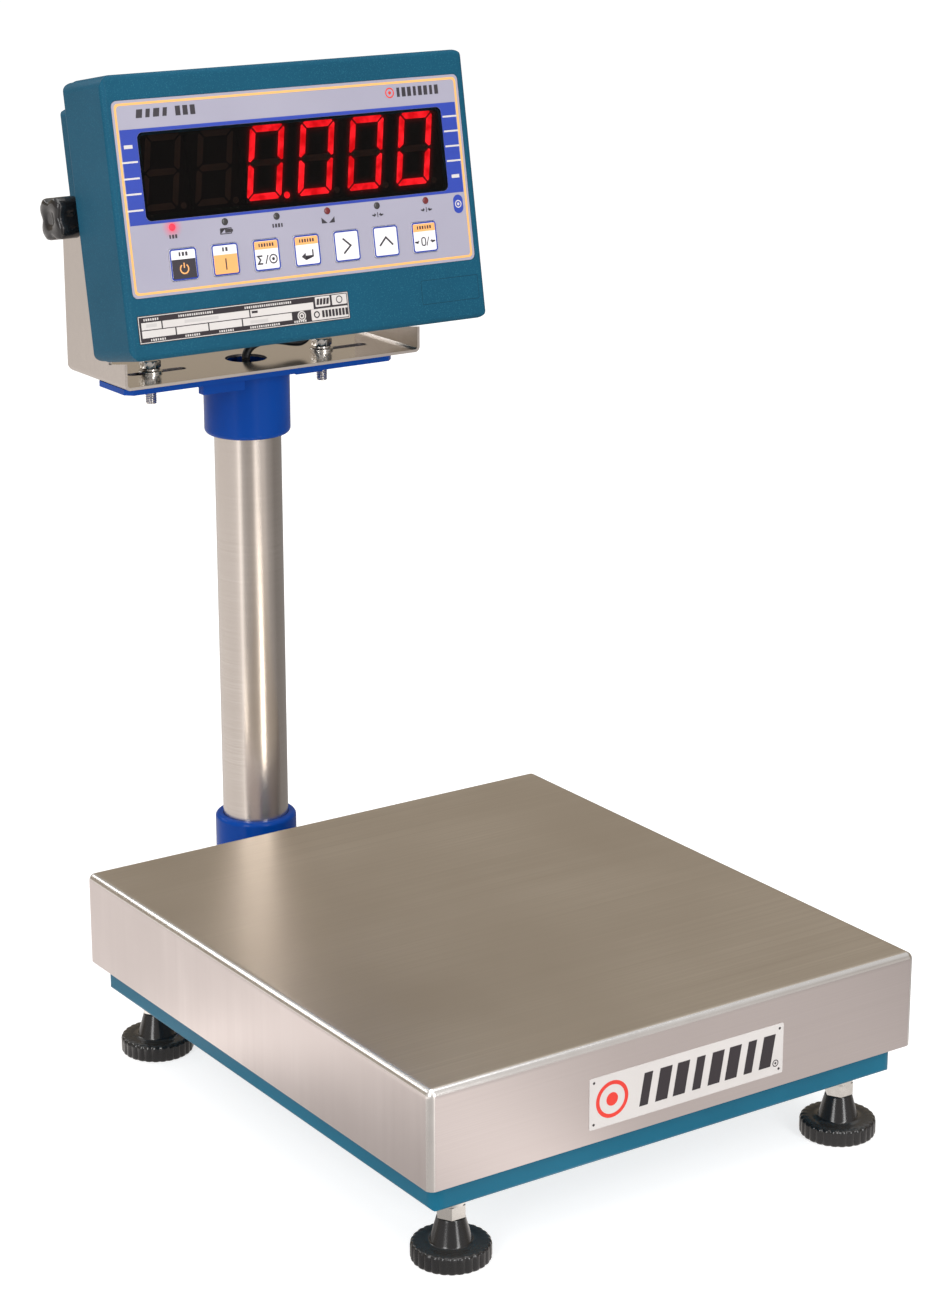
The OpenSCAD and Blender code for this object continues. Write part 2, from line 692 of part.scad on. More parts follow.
// charger and mains-side converter block
module power_supply() {
  color([0.8, 0.7, 0.25]) on_face() {
    translate([60, -78, -31.8]) cube([46, 62, 3]);
    translate([64, -74, -28.9]) cube([38, 40, 34]);
    translate([70, -28, -28.9]) cylinder(r = 5, h = 24);
    translate([88, -28, -28.9]) cylinder(r = 5, h = 24);
  }
}

module battery_door() {
  color([0.15, 0.37, 0.45]) on_face() difference() {
    translate([-57.5, -45, box_back_d - door_t]) linear_extrude(door_t) rrect(106, 70, 4);
    for (s = [-1, 1]) translate([-57.5 + s * 48, -45, box_back_d - door_t - 1]) cylinder(r = 2.6, h = 1.8);
  }
}

// cable gland under the rear box: nut inside, body, clamping nut outside
module cable_gland() {
  bottom = face_y - box_h / 2;
  color([0.06, 0.06, 0.06]) on_face() translate([gland_x, bottom, -gland_back]) rotate([-90, 0, 0]) difference() {
    union() {
      translate([0, 0, wall]) hex(15, 3.5);
      translate([0, 0, -eps]) cylinder(r = 6, h = wall + 1);
      translate([0, 0, -4]) hex(15, 4);
      translate([0, 0, -13.5]) cylinder(r1 = 4.6, r2 = 7.2, h = 9.5 + eps);
    }
    translate([0, 0, -14]) cylinder(r = 3.1, h = 30);
  }
}

module tilt_inserts() {
  color([0.8, 0.65, 0.3]) on_face() for (s = [-1, 1]) rotate([0, s * 90, 0])
    translate([0, 0, box_w / 2 - 14]) difference() {
      cylinder(r = 4.97, h = 14);
      translate([0, 0, -1]) cylinder(r = 3, h = 20);
    }
}

module rating_label() {
  color("black") on_face() translate([label_at.x, label_at.y, face_d]) linear_extrude(label_size.z)
    rrect(label_size.x, label_size.y, 0.8);
}

// ---- tilt clamp knobs ----

knob_x0 = bracket_w / 2 + 0.3;
knob_x1 = 151;

module knob(s) {
  color([0.06, 0.06, 0.06]) on_face() rotate([0, s * 90, 0]) difference() {
    union() {
      translate([0, 0, knob_x0]) cylinder(r = 9, h = 13);
      difference() {
        translate([0, 0, knob_x0 + 12]) cylinder(r = 17, h = knob_x1 - knob_x0 - 12);
        for (a = [0:90:270]) rotate(a) translate([21, 0, knob_x0 + 11]) cylinder(r = 11, h = 30);
      }
    }
    translate([0, 0, knob_x0 - 1]) cylinder(r = 3.05, h = 21);
  }
}

module knob_stud(s) {
  color("silver") on_face() rotate([0, s * 90, 0]) translate([0, 0, box_w / 2 - 11])
    cylinder(r = 2.95, h = 33.5);
}

module knob_left() { knob(-1); }
module knob_right() { knob(1); }
module knob_left_stud() { knob_stud(-1); }
module knob_right_stud() { knob_stud(1); }

// ---- keys ----

module key(k) {
  color([0.9, 0.88, 0.85]) on_face() translate([(k - 3) * key_pitch, key_y, face_d + key_proud]) {
    translate([0, 0, -1.4]) linear_extrude(1.4) rrect(key_w, key_h, 2);
    translate([-6, -6, -3.4]) cube([12, 12, 2 + eps]);
  }
}

module key_off() { key(0); }
module key_on() { key(1); }
module key_print() { key(2); }
module key_enter() { key(3); }
module key_next() { key(4); }
module key_up() { key(5); }
module key_zero() { key(6); }

base_tray();
cell_bridge();
foot_nuts();
load_cell();
load_cell_live_end();
overload_stops();
column_arm();
base_bolts();
column_screws();
column_tube();
column_grommet();
column_lead();
spirit_level();
foot_fl_stud();
foot_fr_stud();
foot_rl_stud();
foot_rr_stud();
foot_fl_pad();
foot_fr_pad();
foot_rl_pad();
foot_rr_pad();
cell_bolts_upper();
deck_frame();
deck_pads();
pan();
pan_label();
cap_socket();
cap_plate();
cap_screws();
tilt_bracket();
bracket_bolts();
lead_loop();
front_shell();
rear_shell();
shell_gasket();
case_screws();
overlay();
display_window();
led_digits();
display_board();
key_switches();
main_board();
battery();
power_supply();
battery_door();
cable_gland();
tilt_inserts();
rating_label();
indicator_lenses();
knob_left();
knob_left_stud();
knob_right();
knob_right_stud();
key_off();
key_on();
key_print();
key_enter();
key_next();
key_up();
key_zero();
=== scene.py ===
import json
import math

import bmesh
import bpy
from mathutils import Matrix, Vector


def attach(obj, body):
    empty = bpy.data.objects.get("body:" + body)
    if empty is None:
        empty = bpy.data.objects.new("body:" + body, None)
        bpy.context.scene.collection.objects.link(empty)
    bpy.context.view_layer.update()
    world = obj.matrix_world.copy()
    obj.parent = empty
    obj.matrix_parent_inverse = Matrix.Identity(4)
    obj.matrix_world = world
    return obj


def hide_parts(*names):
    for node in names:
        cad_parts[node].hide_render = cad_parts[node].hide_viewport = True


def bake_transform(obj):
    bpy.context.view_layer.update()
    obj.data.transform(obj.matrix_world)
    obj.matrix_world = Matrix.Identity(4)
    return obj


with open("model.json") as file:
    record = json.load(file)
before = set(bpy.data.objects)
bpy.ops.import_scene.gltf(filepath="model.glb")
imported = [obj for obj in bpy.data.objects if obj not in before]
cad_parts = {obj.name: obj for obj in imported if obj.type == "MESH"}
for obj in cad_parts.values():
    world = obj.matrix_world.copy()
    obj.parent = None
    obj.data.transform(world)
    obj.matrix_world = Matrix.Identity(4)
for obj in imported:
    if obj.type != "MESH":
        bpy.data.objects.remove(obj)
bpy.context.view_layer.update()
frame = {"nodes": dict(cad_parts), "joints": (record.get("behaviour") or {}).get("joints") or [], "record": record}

# Bench scale. Drawing sizes are in millimetres and become metres as each piece is made.

MM = 0.001
JOINTS = {joint["name"]: joint for joint in frame["joints"]}
SWIVEL_Y = JOINTS["column_swivel"]["pos_m"][1]
COLUMN_Y = 305   # from the pan's middle back to the column
MIDDLE_Y = SWIVEL_Y / MM - COLUMN_Y
HEAD_TILT = math.radians(10.2)
VIEW_TURN = math.radians(34.26)   # the viewer stands to the left of the front by this angle
VIEW_DROP = math.radians(17.18)   # and looks down by this one
CAMERA_PLACE = (-1.0993, -1.5991 + MIDDLE_Y * MM, 0.9081)
PIVOT = Vector(JOINTS["indicator_tilt"]["pos_m"])
FACE = Matrix.Translation(PIVOT) @ Matrix.Rotation(math.pi / 2 - HEAD_TILT, 4, "X")
PLATFORM = Matrix.Translation((0, MIDDLE_Y * MM, 0))

# indicator face, from the tilt pivot: x right, y up the face, z out of the face
FACE_Y = -5
FILM_TOP = 80.8
KEY_TOP = 81.3
PRINT_T = 0.06
OVERPRINT_T = 0.02   # of a second colour, and of print that is meant to look flat
DIGIT_PITCH = 40
DIGIT_X = -2.6
LED_PITCH = 40.3
LED_X = -0.8
LED_Y = FACE_Y - 8.3
KEY_PITCH = 32
KEY_Y = FACE_Y - 33.3
KEY_PRINT_T = 0.03
KEYS = ["key_off", "key_on", "key_print", "key_enter", "key_next", "key_up", "key_zero"]


# ---- camera, floor and light

def new_object(name, data):
    thing = bpy.data.objects.new(name, data)
    bpy.context.scene.collection.objects.link(thing)
    return thing


def finished_mesh(bm):
    mesh = bpy.data.meshes.new("mesh")
    bm.to_mesh(mesh)
    bm.free()
    return mesh


def make_camera():
    data = bpy.data.cameras.new("camera")
    data.sensor_width = 36
    data.lens = 85.912
    data.clip_end = 60
    camera = new_object("camera", data)
    camera.location = CAMERA_PLACE
    camera.rotation_euler = (math.pi / 2 - VIEW_DROP, 0, -VIEW_TURN)
    bpy.context.scene.camera = camera


def area_light(name, place, target, size, power):
    data = bpy.data.lights.new(name, "AREA")
    data.shape = "RECTANGLE"
    data.size, data.size_y = size
    data.energy = power
    light = new_object(name, data)
    light.location = place
    light.rotation_euler = (Vector(target) - Vector(place)).to_track_quat("-Z", "Y").to_euler()


def make_studio():
    bm = bmesh.new()
    bmesh.ops.create_circle(bm, cap_ends=True, segments=96, radius=24)
    floor = new_object("studio_floor", finished_mesh(bm))
    plain_floor()
    floor.data.materials.append(MATERIALS["studio_floor"])
    area_light("left_softbox", (-2.6, -1.3, 1.9), (0, 0, 0.35), (0.8, 2.2), 40)
    area_light("front_softbox", (0.2, -3.0, 1.7), (0, 0, 0.35), (0.7, 2.2), 38)
    area_light("top_softbox", (-0.2, -0.2, 3.2), (0, 0, 0), (2.6, 2.6), 52)
    area_light("rim_softbox", (-1.15, 2.35, 1.75), (-0.18, 0, 0.13), (1.7, 0.5), 8)


SKY_STRENGTH = 0.66
SKY_TO_CAMERA = (1.55, 1.55, 1.55)   # white once the strength is applied
SKY_BEHIND = (0.86, 0.82, 0.79)   # the part on the viewer's side, as polished metal shows it
SKY_STOPS = [(0.0, (0.50, 0.425, 0.335)), (0.33, (0.50, 0.425, 0.335)), (0.44, (0.28, 0.24, 0.195)),
             (0.66, (0.95, 0.94, 0.92)), (1.0, (1.0, 1.0, 1.0))]   # from straight down to straight up


def make_sky():
    """Surroundings that light the scale and show in its metal, and are plain white to the camera."""
    world = bpy.data.worlds.new("studio")
    bpy.context.scene.world = world
    world.use_nodes = True
    tree = world.node_tree
    back = tree.nodes["Background"]
    back.inputs["Strength"].default_value = SKY_STRENGTH
    where = tree.nodes.new("ShaderNodeTexCoord")
    split = tree.nodes.new("ShaderNodeSeparateXYZ")
    tree.links.new(where.outputs["Generated"], split.inputs[0])
    upward = ramp_colour(tree, split.outputs["Z"], SKY_STOPS, "EASE")
    ahead = tree.nodes.new("ShaderNodeVectorMath")
    ahead.operation = "DOT_PRODUCT"
    ahead.inputs[1].default_value = (math.sin(VIEW_TURN), math.cos(VIEW_TURN), 0)
    tree.links.new(where.outputs["Generated"], ahead.inputs[0])
    sky = mix_colour(tree, contrast(tree, ahead.outputs["Value"], -0.25, 0.2), SKY_BEHIND, upward)
    rays = tree.nodes.new("ShaderNodeLightPath")
    seen = mix_colour(tree, rays.outputs["Is Camera Ray"], sky, SKY_TO_CAMERA)
    tree.links.new(seen, back.inputs["Color"])
    bpy.context.scene.view_settings.view_transform = "Standard"


# ---- node groups and materials

def ramp_colour(tree, value, stops, interpolation="LINEAR"):
    """Colour that a 0..1 value picks from a ramp of stops, each (position, colour)."""
    ramp = tree.nodes.new("ShaderNodeValToRGB")
    ramp.color_ramp.interpolation = interpolation
    tree.links.new(value, ramp.inputs[0])
    elements = ramp.color_ramp.elements
    while len(elements) < len(stops):
        elements.new(0.5)
    for element, (position, colour) in zip(elements, stops):
        element.position = position
        element.color = (*colour, 1)
    return ramp.outputs[0]


def srgb(r, g, b):
    """Linear colour from eight-bit screen values."""
    return tuple((c / 255 / 12.92) if c <= 10 else ((c / 255 + 0.055) / 1.055) ** 2.4 for c in (r, g, b))


def new_group(name, inputs, outputs):
    group = bpy.data.node_groups.new(name, "ShaderNodeTree")
    for label, kind, value in inputs:
        socket = group.interface.new_socket(label, in_out="INPUT", socket_type=kind)
        if value is not None:
            socket.default_value = value
    for label, kind in outputs:
        group.interface.new_socket(label, in_out="OUTPUT", socket_type=kind)
    return group, group.nodes.new("NodeGroupInput"), group.nodes.new("NodeGroupOutput")


def math_node(tree, operation, a, b):
    node = tree.nodes.new("ShaderNodeMath")
    node.operation = operation
    for socket, value in zip(node.inputs, (a, b)):
        if isinstance(value, (int, float)):
            socket.default_value = value
        else:
            tree.links.new(value, socket)
    return node.outputs[0]


def noise(tree, vector, scale, detail, roughness):
    node = tree.nodes.new("ShaderNodeTexNoise")
    node.inputs["Detail"].default_value = detail
    node.inputs["Roughness"].default_value = roughness
    if isinstance(scale, (int, float)):
        node.inputs["Scale"].default_value = scale
    else:
        tree.links.new(scale, node.inputs["Scale"])
    tree.links.new(vector, node.inputs["Vector"])
    return node.outputs["Fac"]


def brushed_group():
    """Fine parallel polishing lines: the stretch vector is small along the lines and large across them."""
    group, start, end = new_group(
        "polishing_lines",
        [("Vector", "NodeSocketVector", None), ("Stretch", "NodeSocketVector", (10, 900, 900)),
         ("Cloud Scale", "NodeSocketFloat", 9.0)],
        [("Lines", "NodeSocketFloat"), ("Cloud", "NodeSocketFloat")])
    links = group.links
    stretch = group.nodes.new("ShaderNodeVectorMath")
    stretch.operation = "MULTIPLY"
    links.new(start.outputs["Vector"], stretch.inputs[0])
    links.new(start.outputs["Stretch"], stretch.inputs[1])
    fine = noise(group, stretch.outputs[0], 1.0, 2.0, 0.6)
    broad = noise(group, stretch.outputs[0], 0.23, 2.0, 0.6)
    sharp = math_node(group, "MULTIPLY", fine, 0.6)
    lines = math_node(group, "ADD", sharp, math_node(group, "MULTIPLY", broad, 0.4))
    links.new(lines, end.inputs["Lines"])
    cloud = noise(group, start.outputs["Vector"], start.outputs["Cloud Scale"], 3.0, 0.5)
    links.new(cloud, end.inputs["Cloud"])
    return group


def grain_group():
    """Even surface grain: a small bump height, a speckle mask and a slow drift of tone."""
    group, start, end = new_group(
        "surface_grain",
        [("Vector", "NodeSocketVector", None), ("Grain Scale", "NodeSocketFloat", 900.0),
         ("Speckle Scale", "NodeSocketFloat", 700.0), ("Speckle Amount", "NodeSocketFloat", 0.5)],
        [("Height", "NodeSocketFloat"), ("Speckle", "NodeSocketFloat"), ("Drift", "NodeSocketFloat")])
    links = group.links
    vector = start.outputs["Vector"]
    links.new(noise(group, vector, start.outputs["Grain Scale"], 2.0, 0.6), end.inputs["Height"])
    cells = group.nodes.new("ShaderNodeTexVoronoi")
    links.new(vector, cells.inputs["Vector"])
    links.new(start.outputs["Speckle Scale"], cells.inputs["Scale"])
    dot = math_node(group, "LESS_THAN", cells.outputs["Distance"], start.outputs["Speckle Amount"])
    rare = math_node(group, "GREATER_THAN", noise(group, vector, 900.0, 1.0, 0.5), 0.55)
    links.new(math_node(group, "MULTIPLY", dot, rare), end.inputs["Speckle"])
    links.new(noise(group, vector, 14.0, 2.0, 0.5), end.inputs["Drift"])
    return group


MATERIALS = {}


def new_material(name):
    """Starts a material, which pieces find in MATERIALS by its name."""
    material = bpy.data.materials.new(name)
    material.use_nodes = True
    MATERIALS[name] = material
    tree = material.node_tree
    where = tree.nodes.new("ShaderNodeTexCoord")
    return tree, tree.nodes["Principled BSDF"], where.outputs["Object"]


def set_shader(shader, **values):
    for label, value in values.items():
        shader.inputs[label.replace("_", " ")].default_value = value


def place_group(tree, group, vector, **values):
    node = tree.nodes.new("ShaderNodeGroup")
    node.node_tree = group
    tree.links.new(vector, node.inputs["Vector"])
    for label, value in values.items():
        node.inputs[label.replace("_", " ")].default_value = value
    return node


def mix_colour(tree, mask, first, second):
    node = tree.nodes.new("ShaderNodeMix")
    node.data_type = "RGBA"
    tree.links.new(mask, node.inputs["Factor"])
    for socket, value in ((node.inputs["A"], first), (node.inputs["B"], second)):
        if isinstance(value, tuple):
            socket.default_value = (*value, 1)
        else:
            tree.links.new(value, socket)
    return node.outputs["Result"]


def scaled(tree, value, low, high):
    """Maps a 0..1 value onto low..high."""
    node = tree.nodes.new("ShaderNodeMapRange")
    node.inputs["To Min"].default_value = low
    node.inputs["To Max"].default_value = high
    tree.links.new(value, node.inputs["Value"])
    return node.outputs["Result"]


def contrast(tree, value, from_low=0.3, from_high=0.7):
    """Maps from_low..from_high, by default the usual spread of a noise, onto 0..1."""
    node = tree.nodes.new("ShaderNodeMapRange")
    node.inputs["From Min"].default_value = from_low
    node.inputs["From Max"].default_value = from_high
    tree.links.new(value, node.inputs["Value"])
    return node.outputs["Result"]


def facing_up(tree):
    """Mask of the surface that faces up."""
    facing = tree.nodes.new("ShaderNodeNewGeometry")
    split = tree.nodes.new("ShaderNodeSeparateXYZ")
    tree.links.new(facing.outputs["Normal"], split.inputs[0])
    return contrast(tree, split.outputs["Z"], 0.6, 0.97)


def add_bump(tree, shader, height, distance):
    bump = tree.nodes.new("ShaderNodeBump")
    bump.inputs["Distance"].default_value = distance
    tree.links.new(height, bump.inputs["Height"])
    tree.links.new(bump.outputs["Normal"], shader.inputs["Normal"])


# how bright the studio looks in polished metal, turning from the far side of the column through the left,
# the viewer's side at 0.5 and the right, as (share of the turn, level)
STUDIO_TURN = [(0.0, 0.6), (0.13, 0.85), (0.22, 0.88), (0.30, 0.86), (0.36, 0.88), (0.40, 1.0), (0.422, 1.5),
               (0.452, 0.55), (0.50, 0.45), (0.545, 0.5), (0.583, 1.5), (0.603, 0.74), (0.66, 0.76),
               (0.70, 0.45), (0.78, 0.26), (0.87, 0.28)]
STUDIO_TINT = (0.62, 0.585, 0.56)


def plain_floor():
    """Pale floor, even and white to the camera, that shows the studio's bright and dark sides in metal."""
    tree, shader, where = new_material("studio_floor")
    rays = tree.nodes.new("ShaderNodeLightPath")
    turn = tree.nodes.new("ShaderNodeVectorRotate")
    turn.rotation_type = "Z_AXIS"
    turn.inputs["Center"].default_value = (0, SWIVEL_Y, 0)
    turn.inputs["Angle"].default_value = math.pi / 2 + VIEW_TURN
    tree.links.new(where, turn.inputs["Vector"])
    shift = tree.nodes.new("ShaderNodeVectorMath")
    shift.operation = "SUBTRACT"
    shift.inputs[1].default_value = (0, SWIVEL_Y, 0)
    tree.links.new(turn.outputs[0], shift.inputs[0])
    around = tree.nodes.new("ShaderNodeTexGradient")
    around.gradient_type = "RADIAL"
    tree.links.new(shift.outputs[0], around.inputs[0])
    stops = [(at, tuple(tint * level for tint in STUDIO_TINT)) for at, level in STUDIO_TURN]
    sides = ramp_colour(tree, around.outputs["Fac"], stops)
    seen = mix_colour(tree, rays.outputs["Is Glossy Ray"], (0.76, 0.76, 0.76), sides)
    tree.links.new(seen, shader.inputs["Emission Color"])
    shows = math_node(tree, "ADD", math_node(tree, "MULTIPLY", rays.outputs["Is Glossy Ray"], 1.65),
                      rays.outputs["Is Camera Ray"])
    tree.links.new(shows, shader.inputs["Emission Strength"])
    base = mix_colour(tree, rays.outputs["Is Glossy Ray"], (0.86, 0.86, 0.86), (0.02, 0.02, 0.02))
    paper = mix_colour(tree, rays.outputs["Is Camera Ray"], base, (0.5, 0.5, 0.5))
    tree.links.new(paper, shader.inputs["Base Color"])
    set_shader(shader, Roughness=0.95, Specular_IOR_Level=0.0)


def brushed_metal(name, dark, light, stretch, rough, depth=0.00002, cloud=9.0, along_axis=0.0,
                  painted_top_light=None):
    """Polished or brushed metal, whose lines run where the stretch vector is small.

    along_axis draws the highlights out along Z, as on a tube that was polished round its axis.
    The last argument, if given, is a lighter tone painted on what faces up as painted light, where the metal is
    also made smoother.
    """
    tree, shader, where = new_material(name)
    lines = place_group(tree, GROUPS["brushed"], where, Stretch=stretch, Cloud_Scale=cloud)
    set_shader(shader, Metallic=1.0, Anisotropic=along_axis, Anisotropic_Rotation=0.25)
    tone = mix_colour(tree, contrast(tree, lines.outputs["Lines"]), dark, light)
    soft = mix_colour(tree, contrast(tree, lines.outputs["Cloud"]), dark, tone)
    rough_map = math_node(tree, "ADD", scaled(tree, lines.outputs["Lines"], rough[0], rough[1]),
                          scaled(tree, lines.outputs["Cloud"], -0.04, 0.04))
    # painted light: what faces up gets a lighter tone, and less roughness
    if painted_top_light:
        level = facing_up(tree)
        soft = mix_colour(tree, level, soft, painted_top_light)
        rough_map = math_node(tree, "SUBTRACT", rough_map, math_node(tree, "MULTIPLY", level, 0.2))
    tree.links.new(soft, shader.inputs["Base Color"])
    tree.links.new(rough_map, shader.inputs["Roughness"])
    add_bump(tree, shader, lines.outputs["Lines"], depth)
    if along_axis:
        turn = tree.nodes.new("ShaderNodeTangent")
        turn.direction_type = "RADIAL"
        turn.axis = "Z"
        tree.links.new(turn.outputs[0], shader.inputs["Tangent"])


def coated(name, base, shade, rough, grain, depth=0.00002, speckle=0.0, speckle_colour=None, coat=0.0,
           speckle_scale=700.0, shine=0.5, upper_tone=None):
    """Painted or moulded surface with a fine grain, a slow drift of tone and, if wanted, light speckles or
    a lighter, patchy tone on what faces up."""
    tree, shader, where = new_material(name)
    skin = place_group(tree, GROUPS["grain"], where, Grain_Scale=grain, Speckle_Scale=speckle_scale,
                       Speckle_Amount=speckle)
    colour = mix_colour(tree, contrast(tree, skin.outputs["Drift"]), base, shade)
    if speckle_colour:
        colour = mix_colour(tree, skin.outputs["Speckle"], colour, speckle_colour)
    # what faces up gets a lighter tone, patchy with the drift
    if upper_tone:
        upper_share = math_node(tree, "MULTIPLY", facing_up(tree), scaled(tree, skin.outputs["Drift"], 0.3, 1.0))
        colour = mix_colour(tree, upper_share, colour, upper_tone)
    tree.links.new(colour, shader.inputs["Base Color"])
    rough_map = scaled(tree, skin.outputs["Drift"], rough - 0.05, rough + 0.05)
    tree.links.new(rough_map, shader.inputs["Roughness"])
    set_shader(shader, Coat_Weight=coat, Coat_Roughness=0.12, Specular_IOR_Level=shine)
    add_bump(tree, shader, skin.outputs["Height"], depth)


def glowing(name, core, edge, strength):
    """Lit plastic: brighter spots where the light sources sit behind it, deeper in between."""
    tree, shader, where = new_material(name)
    skin = place_group(tree, GROUPS["grain"], where, Grain_Scale=120.0)
    set_shader(shader, Base_Color=(0.02, 0.0, 0.0, 1), Roughness=0.4, Emission_Strength=strength)
    glow = mix_colour(tree, contrast(tree, skin.outputs["Height"], 0.36, 0.64), edge, core)
    tree.links.new(glow, shader.inputs["Emission Color"])


def smoked_plastic():
    tree, shader, where = new_material("smoked_window")
    set_shader(shader, Base_Color=(0.14, 0.11, 0.105, 1), Roughness=0.03, IOR=1.2, Transmission_Weight=1.0)
    skin = place_group(tree, GROUPS["grain"], where, Grain_Scale=160.0)
    add_bump(tree, shader, skin.outputs["Height"], 0.000004)


def halo_material():
    """Red haze round a lit segment: bright where the mesh attribute glow is one."""
    tree, shader, _ = new_material("segment_halo")
    set_shader(shader, Base_Color=(0.010, 0.007, 0.007, 1), Roughness=0.6, Emission_Strength=0.4)
    glow = tree.nodes.new("ShaderNodeAttribute")
    glow.attribute_name = "glow"
    haze = mix_colour(tree, glow.outputs["Fac"], (0.0, 0.0, 0.0), (0.9, 0.0, 0.01))
    tree.links.new(haze, shader.inputs["Emission Color"])


def film_material():
    """Printed polyester film, with the red light of the first lamp painted on it as a red tint of its colour."""
    tree, shader, where = new_material("overlay_film")
    skin = place_group(tree, GROUPS["grain"], where, Grain_Scale=1500.0)
    drift = contrast(tree, skin.outputs["Drift"])
    plain = mix_colour(tree, drift, srgb(163, 161, 178), srgb(158, 156, 174))
    lamp = FACE @ (Vector((lamp_x(0), LED_Y, FILM_TOP)) * MM)
    away = tree.nodes.new("ShaderNodeVectorMath")
    away.operation = "DISTANCE"
    away.inputs[1].default_value = frame["nodes"]["overlay"].matrix_world.inverted() @ lamp
    tree.links.new(where, away.inputs[0])
    # painted light: the film's colour turns red close to the first lamp
    painted_lamp_light = math_node(tree, "MULTIPLY", contrast(tree, away.outputs["Value"], 0.0085, 0.001), 0.85)
    base = mix_colour(tree, math_node(tree, "POWER", painted_lamp_light, 1.5), plain, srgb(236, 40, 84))
    tree.links.new(base, shader.inputs["Base Color"])
    tree.links.new(scaled(tree, skin.outputs["Drift"], 0.34, 0.42), shader.inputs["Roughness"])
    add_bump(tree, shader, skin.outputs["Height"], 0.00001)


# flat finishes that differ only in their two tones, in eight-bit screen values
LABEL_TONES = {
    "label_white": ((211, 207, 205), (204, 200, 198)),
    "label_grey": ((196, 192, 191), (190, 187, 186)),
    "label_black": ((42, 34, 40), (36, 30, 36)),
    "label_red": ((226, 52, 38), (216, 46, 34)),
}
FILM_TONES = {
    "film_blue": ((40, 66, 168), (36, 61, 160)),
    "film_orange": ((246, 186, 112), (242, 180, 106)),
    "film_dark": ((48, 44, 52), (56, 52, 58)),
    "film_line_blue": ((26, 60, 160), (22, 54, 152)),
    "key_film": ((244, 243, 246), (238, 237, 242)),
    "key_peach": ((247, 178, 110), (243, 173, 103)),
}


def make_metals():
    brushed_metal("zinc_steel", (0.68, 0.66, 0.63), (0.88, 0.86, 0.83), (300, 300, 300), (0.2, 0.3))
    brushed_metal("cell_aluminium", (0.62, 0.63, 0.65), (0.78, 0.79, 0.81), (900, 12, 900), (0.3, 0.42))
    brushed_metal("brass", (0.62, 0.42, 0.16), (0.78, 0.56, 0.26), (400, 400, 400), (0.25, 0.35))
    brushed_metal("column_steel", (0.60, 0.55, 0.51), (0.74, 0.69, 0.65), (30, 30, 5200), (0.2, 0.27),
                  0.000004, along_axis=0.75)
    # the bracket's top faces get a lighter tone as painted light
    brushed_metal("bracket_steel", (0.56, 0.515, 0.48), (0.66, 0.61, 0.57), (12, 700, 700), (0.3, 0.4),
                  0.00001, painted_top_light=(0.97, 0.92, 0.87))
    brushed_metal("pan_steel", (0.69, 0.61, 0.51), (0.83, 0.745, 0.635), (6, 1500, 1500), (0.28, 0.38),
                  0.00001, cloud=5.0)
    # the front and back skirts of the same sheet get a darker tone: painted shade
    brushed_metal("pan_front", (0.58, 0.525, 0.515), (0.64, 0.585, 0.575), (5, 2600, 2600), (0.33, 0.41),
                  0.00001, cloud=7.0)
    brushed_metal("pan_side", (0.70, 0.635, 0.62), (0.80, 0.735, 0.72), (1500, 110, 5), (0.3, 0.4),
                  0.00001, cloud=14.0)
    # the bends get a lighter tone: a polished edge, and a painted highlight along it
    brushed_metal("pan_edge", (0.84, 0.81, 0.79), (0.95, 0.93, 0.91), (60, 60, 60), (0.2, 0.28))


def make_coats():
    coated("teal_coat", srgb(8, 103, 132), srgb(5, 96, 124), 0.4, 420.0, 0.00003, coat=0.06, shine=0.2)
    # the light speckles on the housing are painted glints of its textured surface
    coated("housing_teal", srgb(8, 78, 104), srgb(6, 73, 98), 0.5, 1500.0, 0.00005,
           speckle=0.36, speckle_colour=srgb(32, 100, 122), speckle_scale=1700.0, shine=0.18)
    # darker teal for the panel's groove: painted shade in the groove
    coated("housing_groove", srgb(6, 56, 76), srgb(5, 52, 70), 0.5, 1500.0, shine=0.2)
    coated("blue_coat", srgb(0, 66, 154), srgb(0, 60, 144), 0.24, 160.0, 0.00006, coat=0.12, shine=0.08)
    coated("foot_plastic", (0.007, 0.007, 0.008), (0.011, 0.011, 0.012), 0.2, 700.0,
           coat=0.25, upper_tone=(0.05, 0.048, 0.045))
    coated("black_screws", (0.02, 0.02, 0.021), (0.03, 0.03, 0.03), 0.42, 700.0)
    coated("black_rubber", (0.016, 0.016, 0.017), (0.024, 0.024, 0.024), 0.55, 800.0)
    coated("cable_jacket", (0.012, 0.012, 0.013), (0.02, 0.02, 0.021), 0.4, 1200.0)
    coated("level_vial", srgb(140, 190, 60), srgb(120, 175, 50), 0.12, 100.0, 0.000004, coat=0.6)
    coated("circuit_board", (0.02, 0.13, 0.05), (0.015, 0.10, 0.04), 0.4, 300.0,
           speckle=0.3, speckle_colour=(0.5, 0.48, 0.42), speckle_scale=240.0)
    coated("battery_case", (0.02, 0.02, 0.022), (0.03, 0.03, 0.032), 0.5, 500.0)
    coated("charger", (0.42, 0.28, 0.06), (0.36, 0.24, 0.05), 0.4, 400.0)
    for name, (base, shade) in LABEL_TONES.items():
        coated(name, srgb(*base), srgb(*shade), 0.35, 1500.0, 0.000006)
    for name, (base, shade) in FILM_TONES.items():
        coated(name, srgb(*base), srgb(*shade), 0.36, 1500.0, 0.000008)
    film_material()


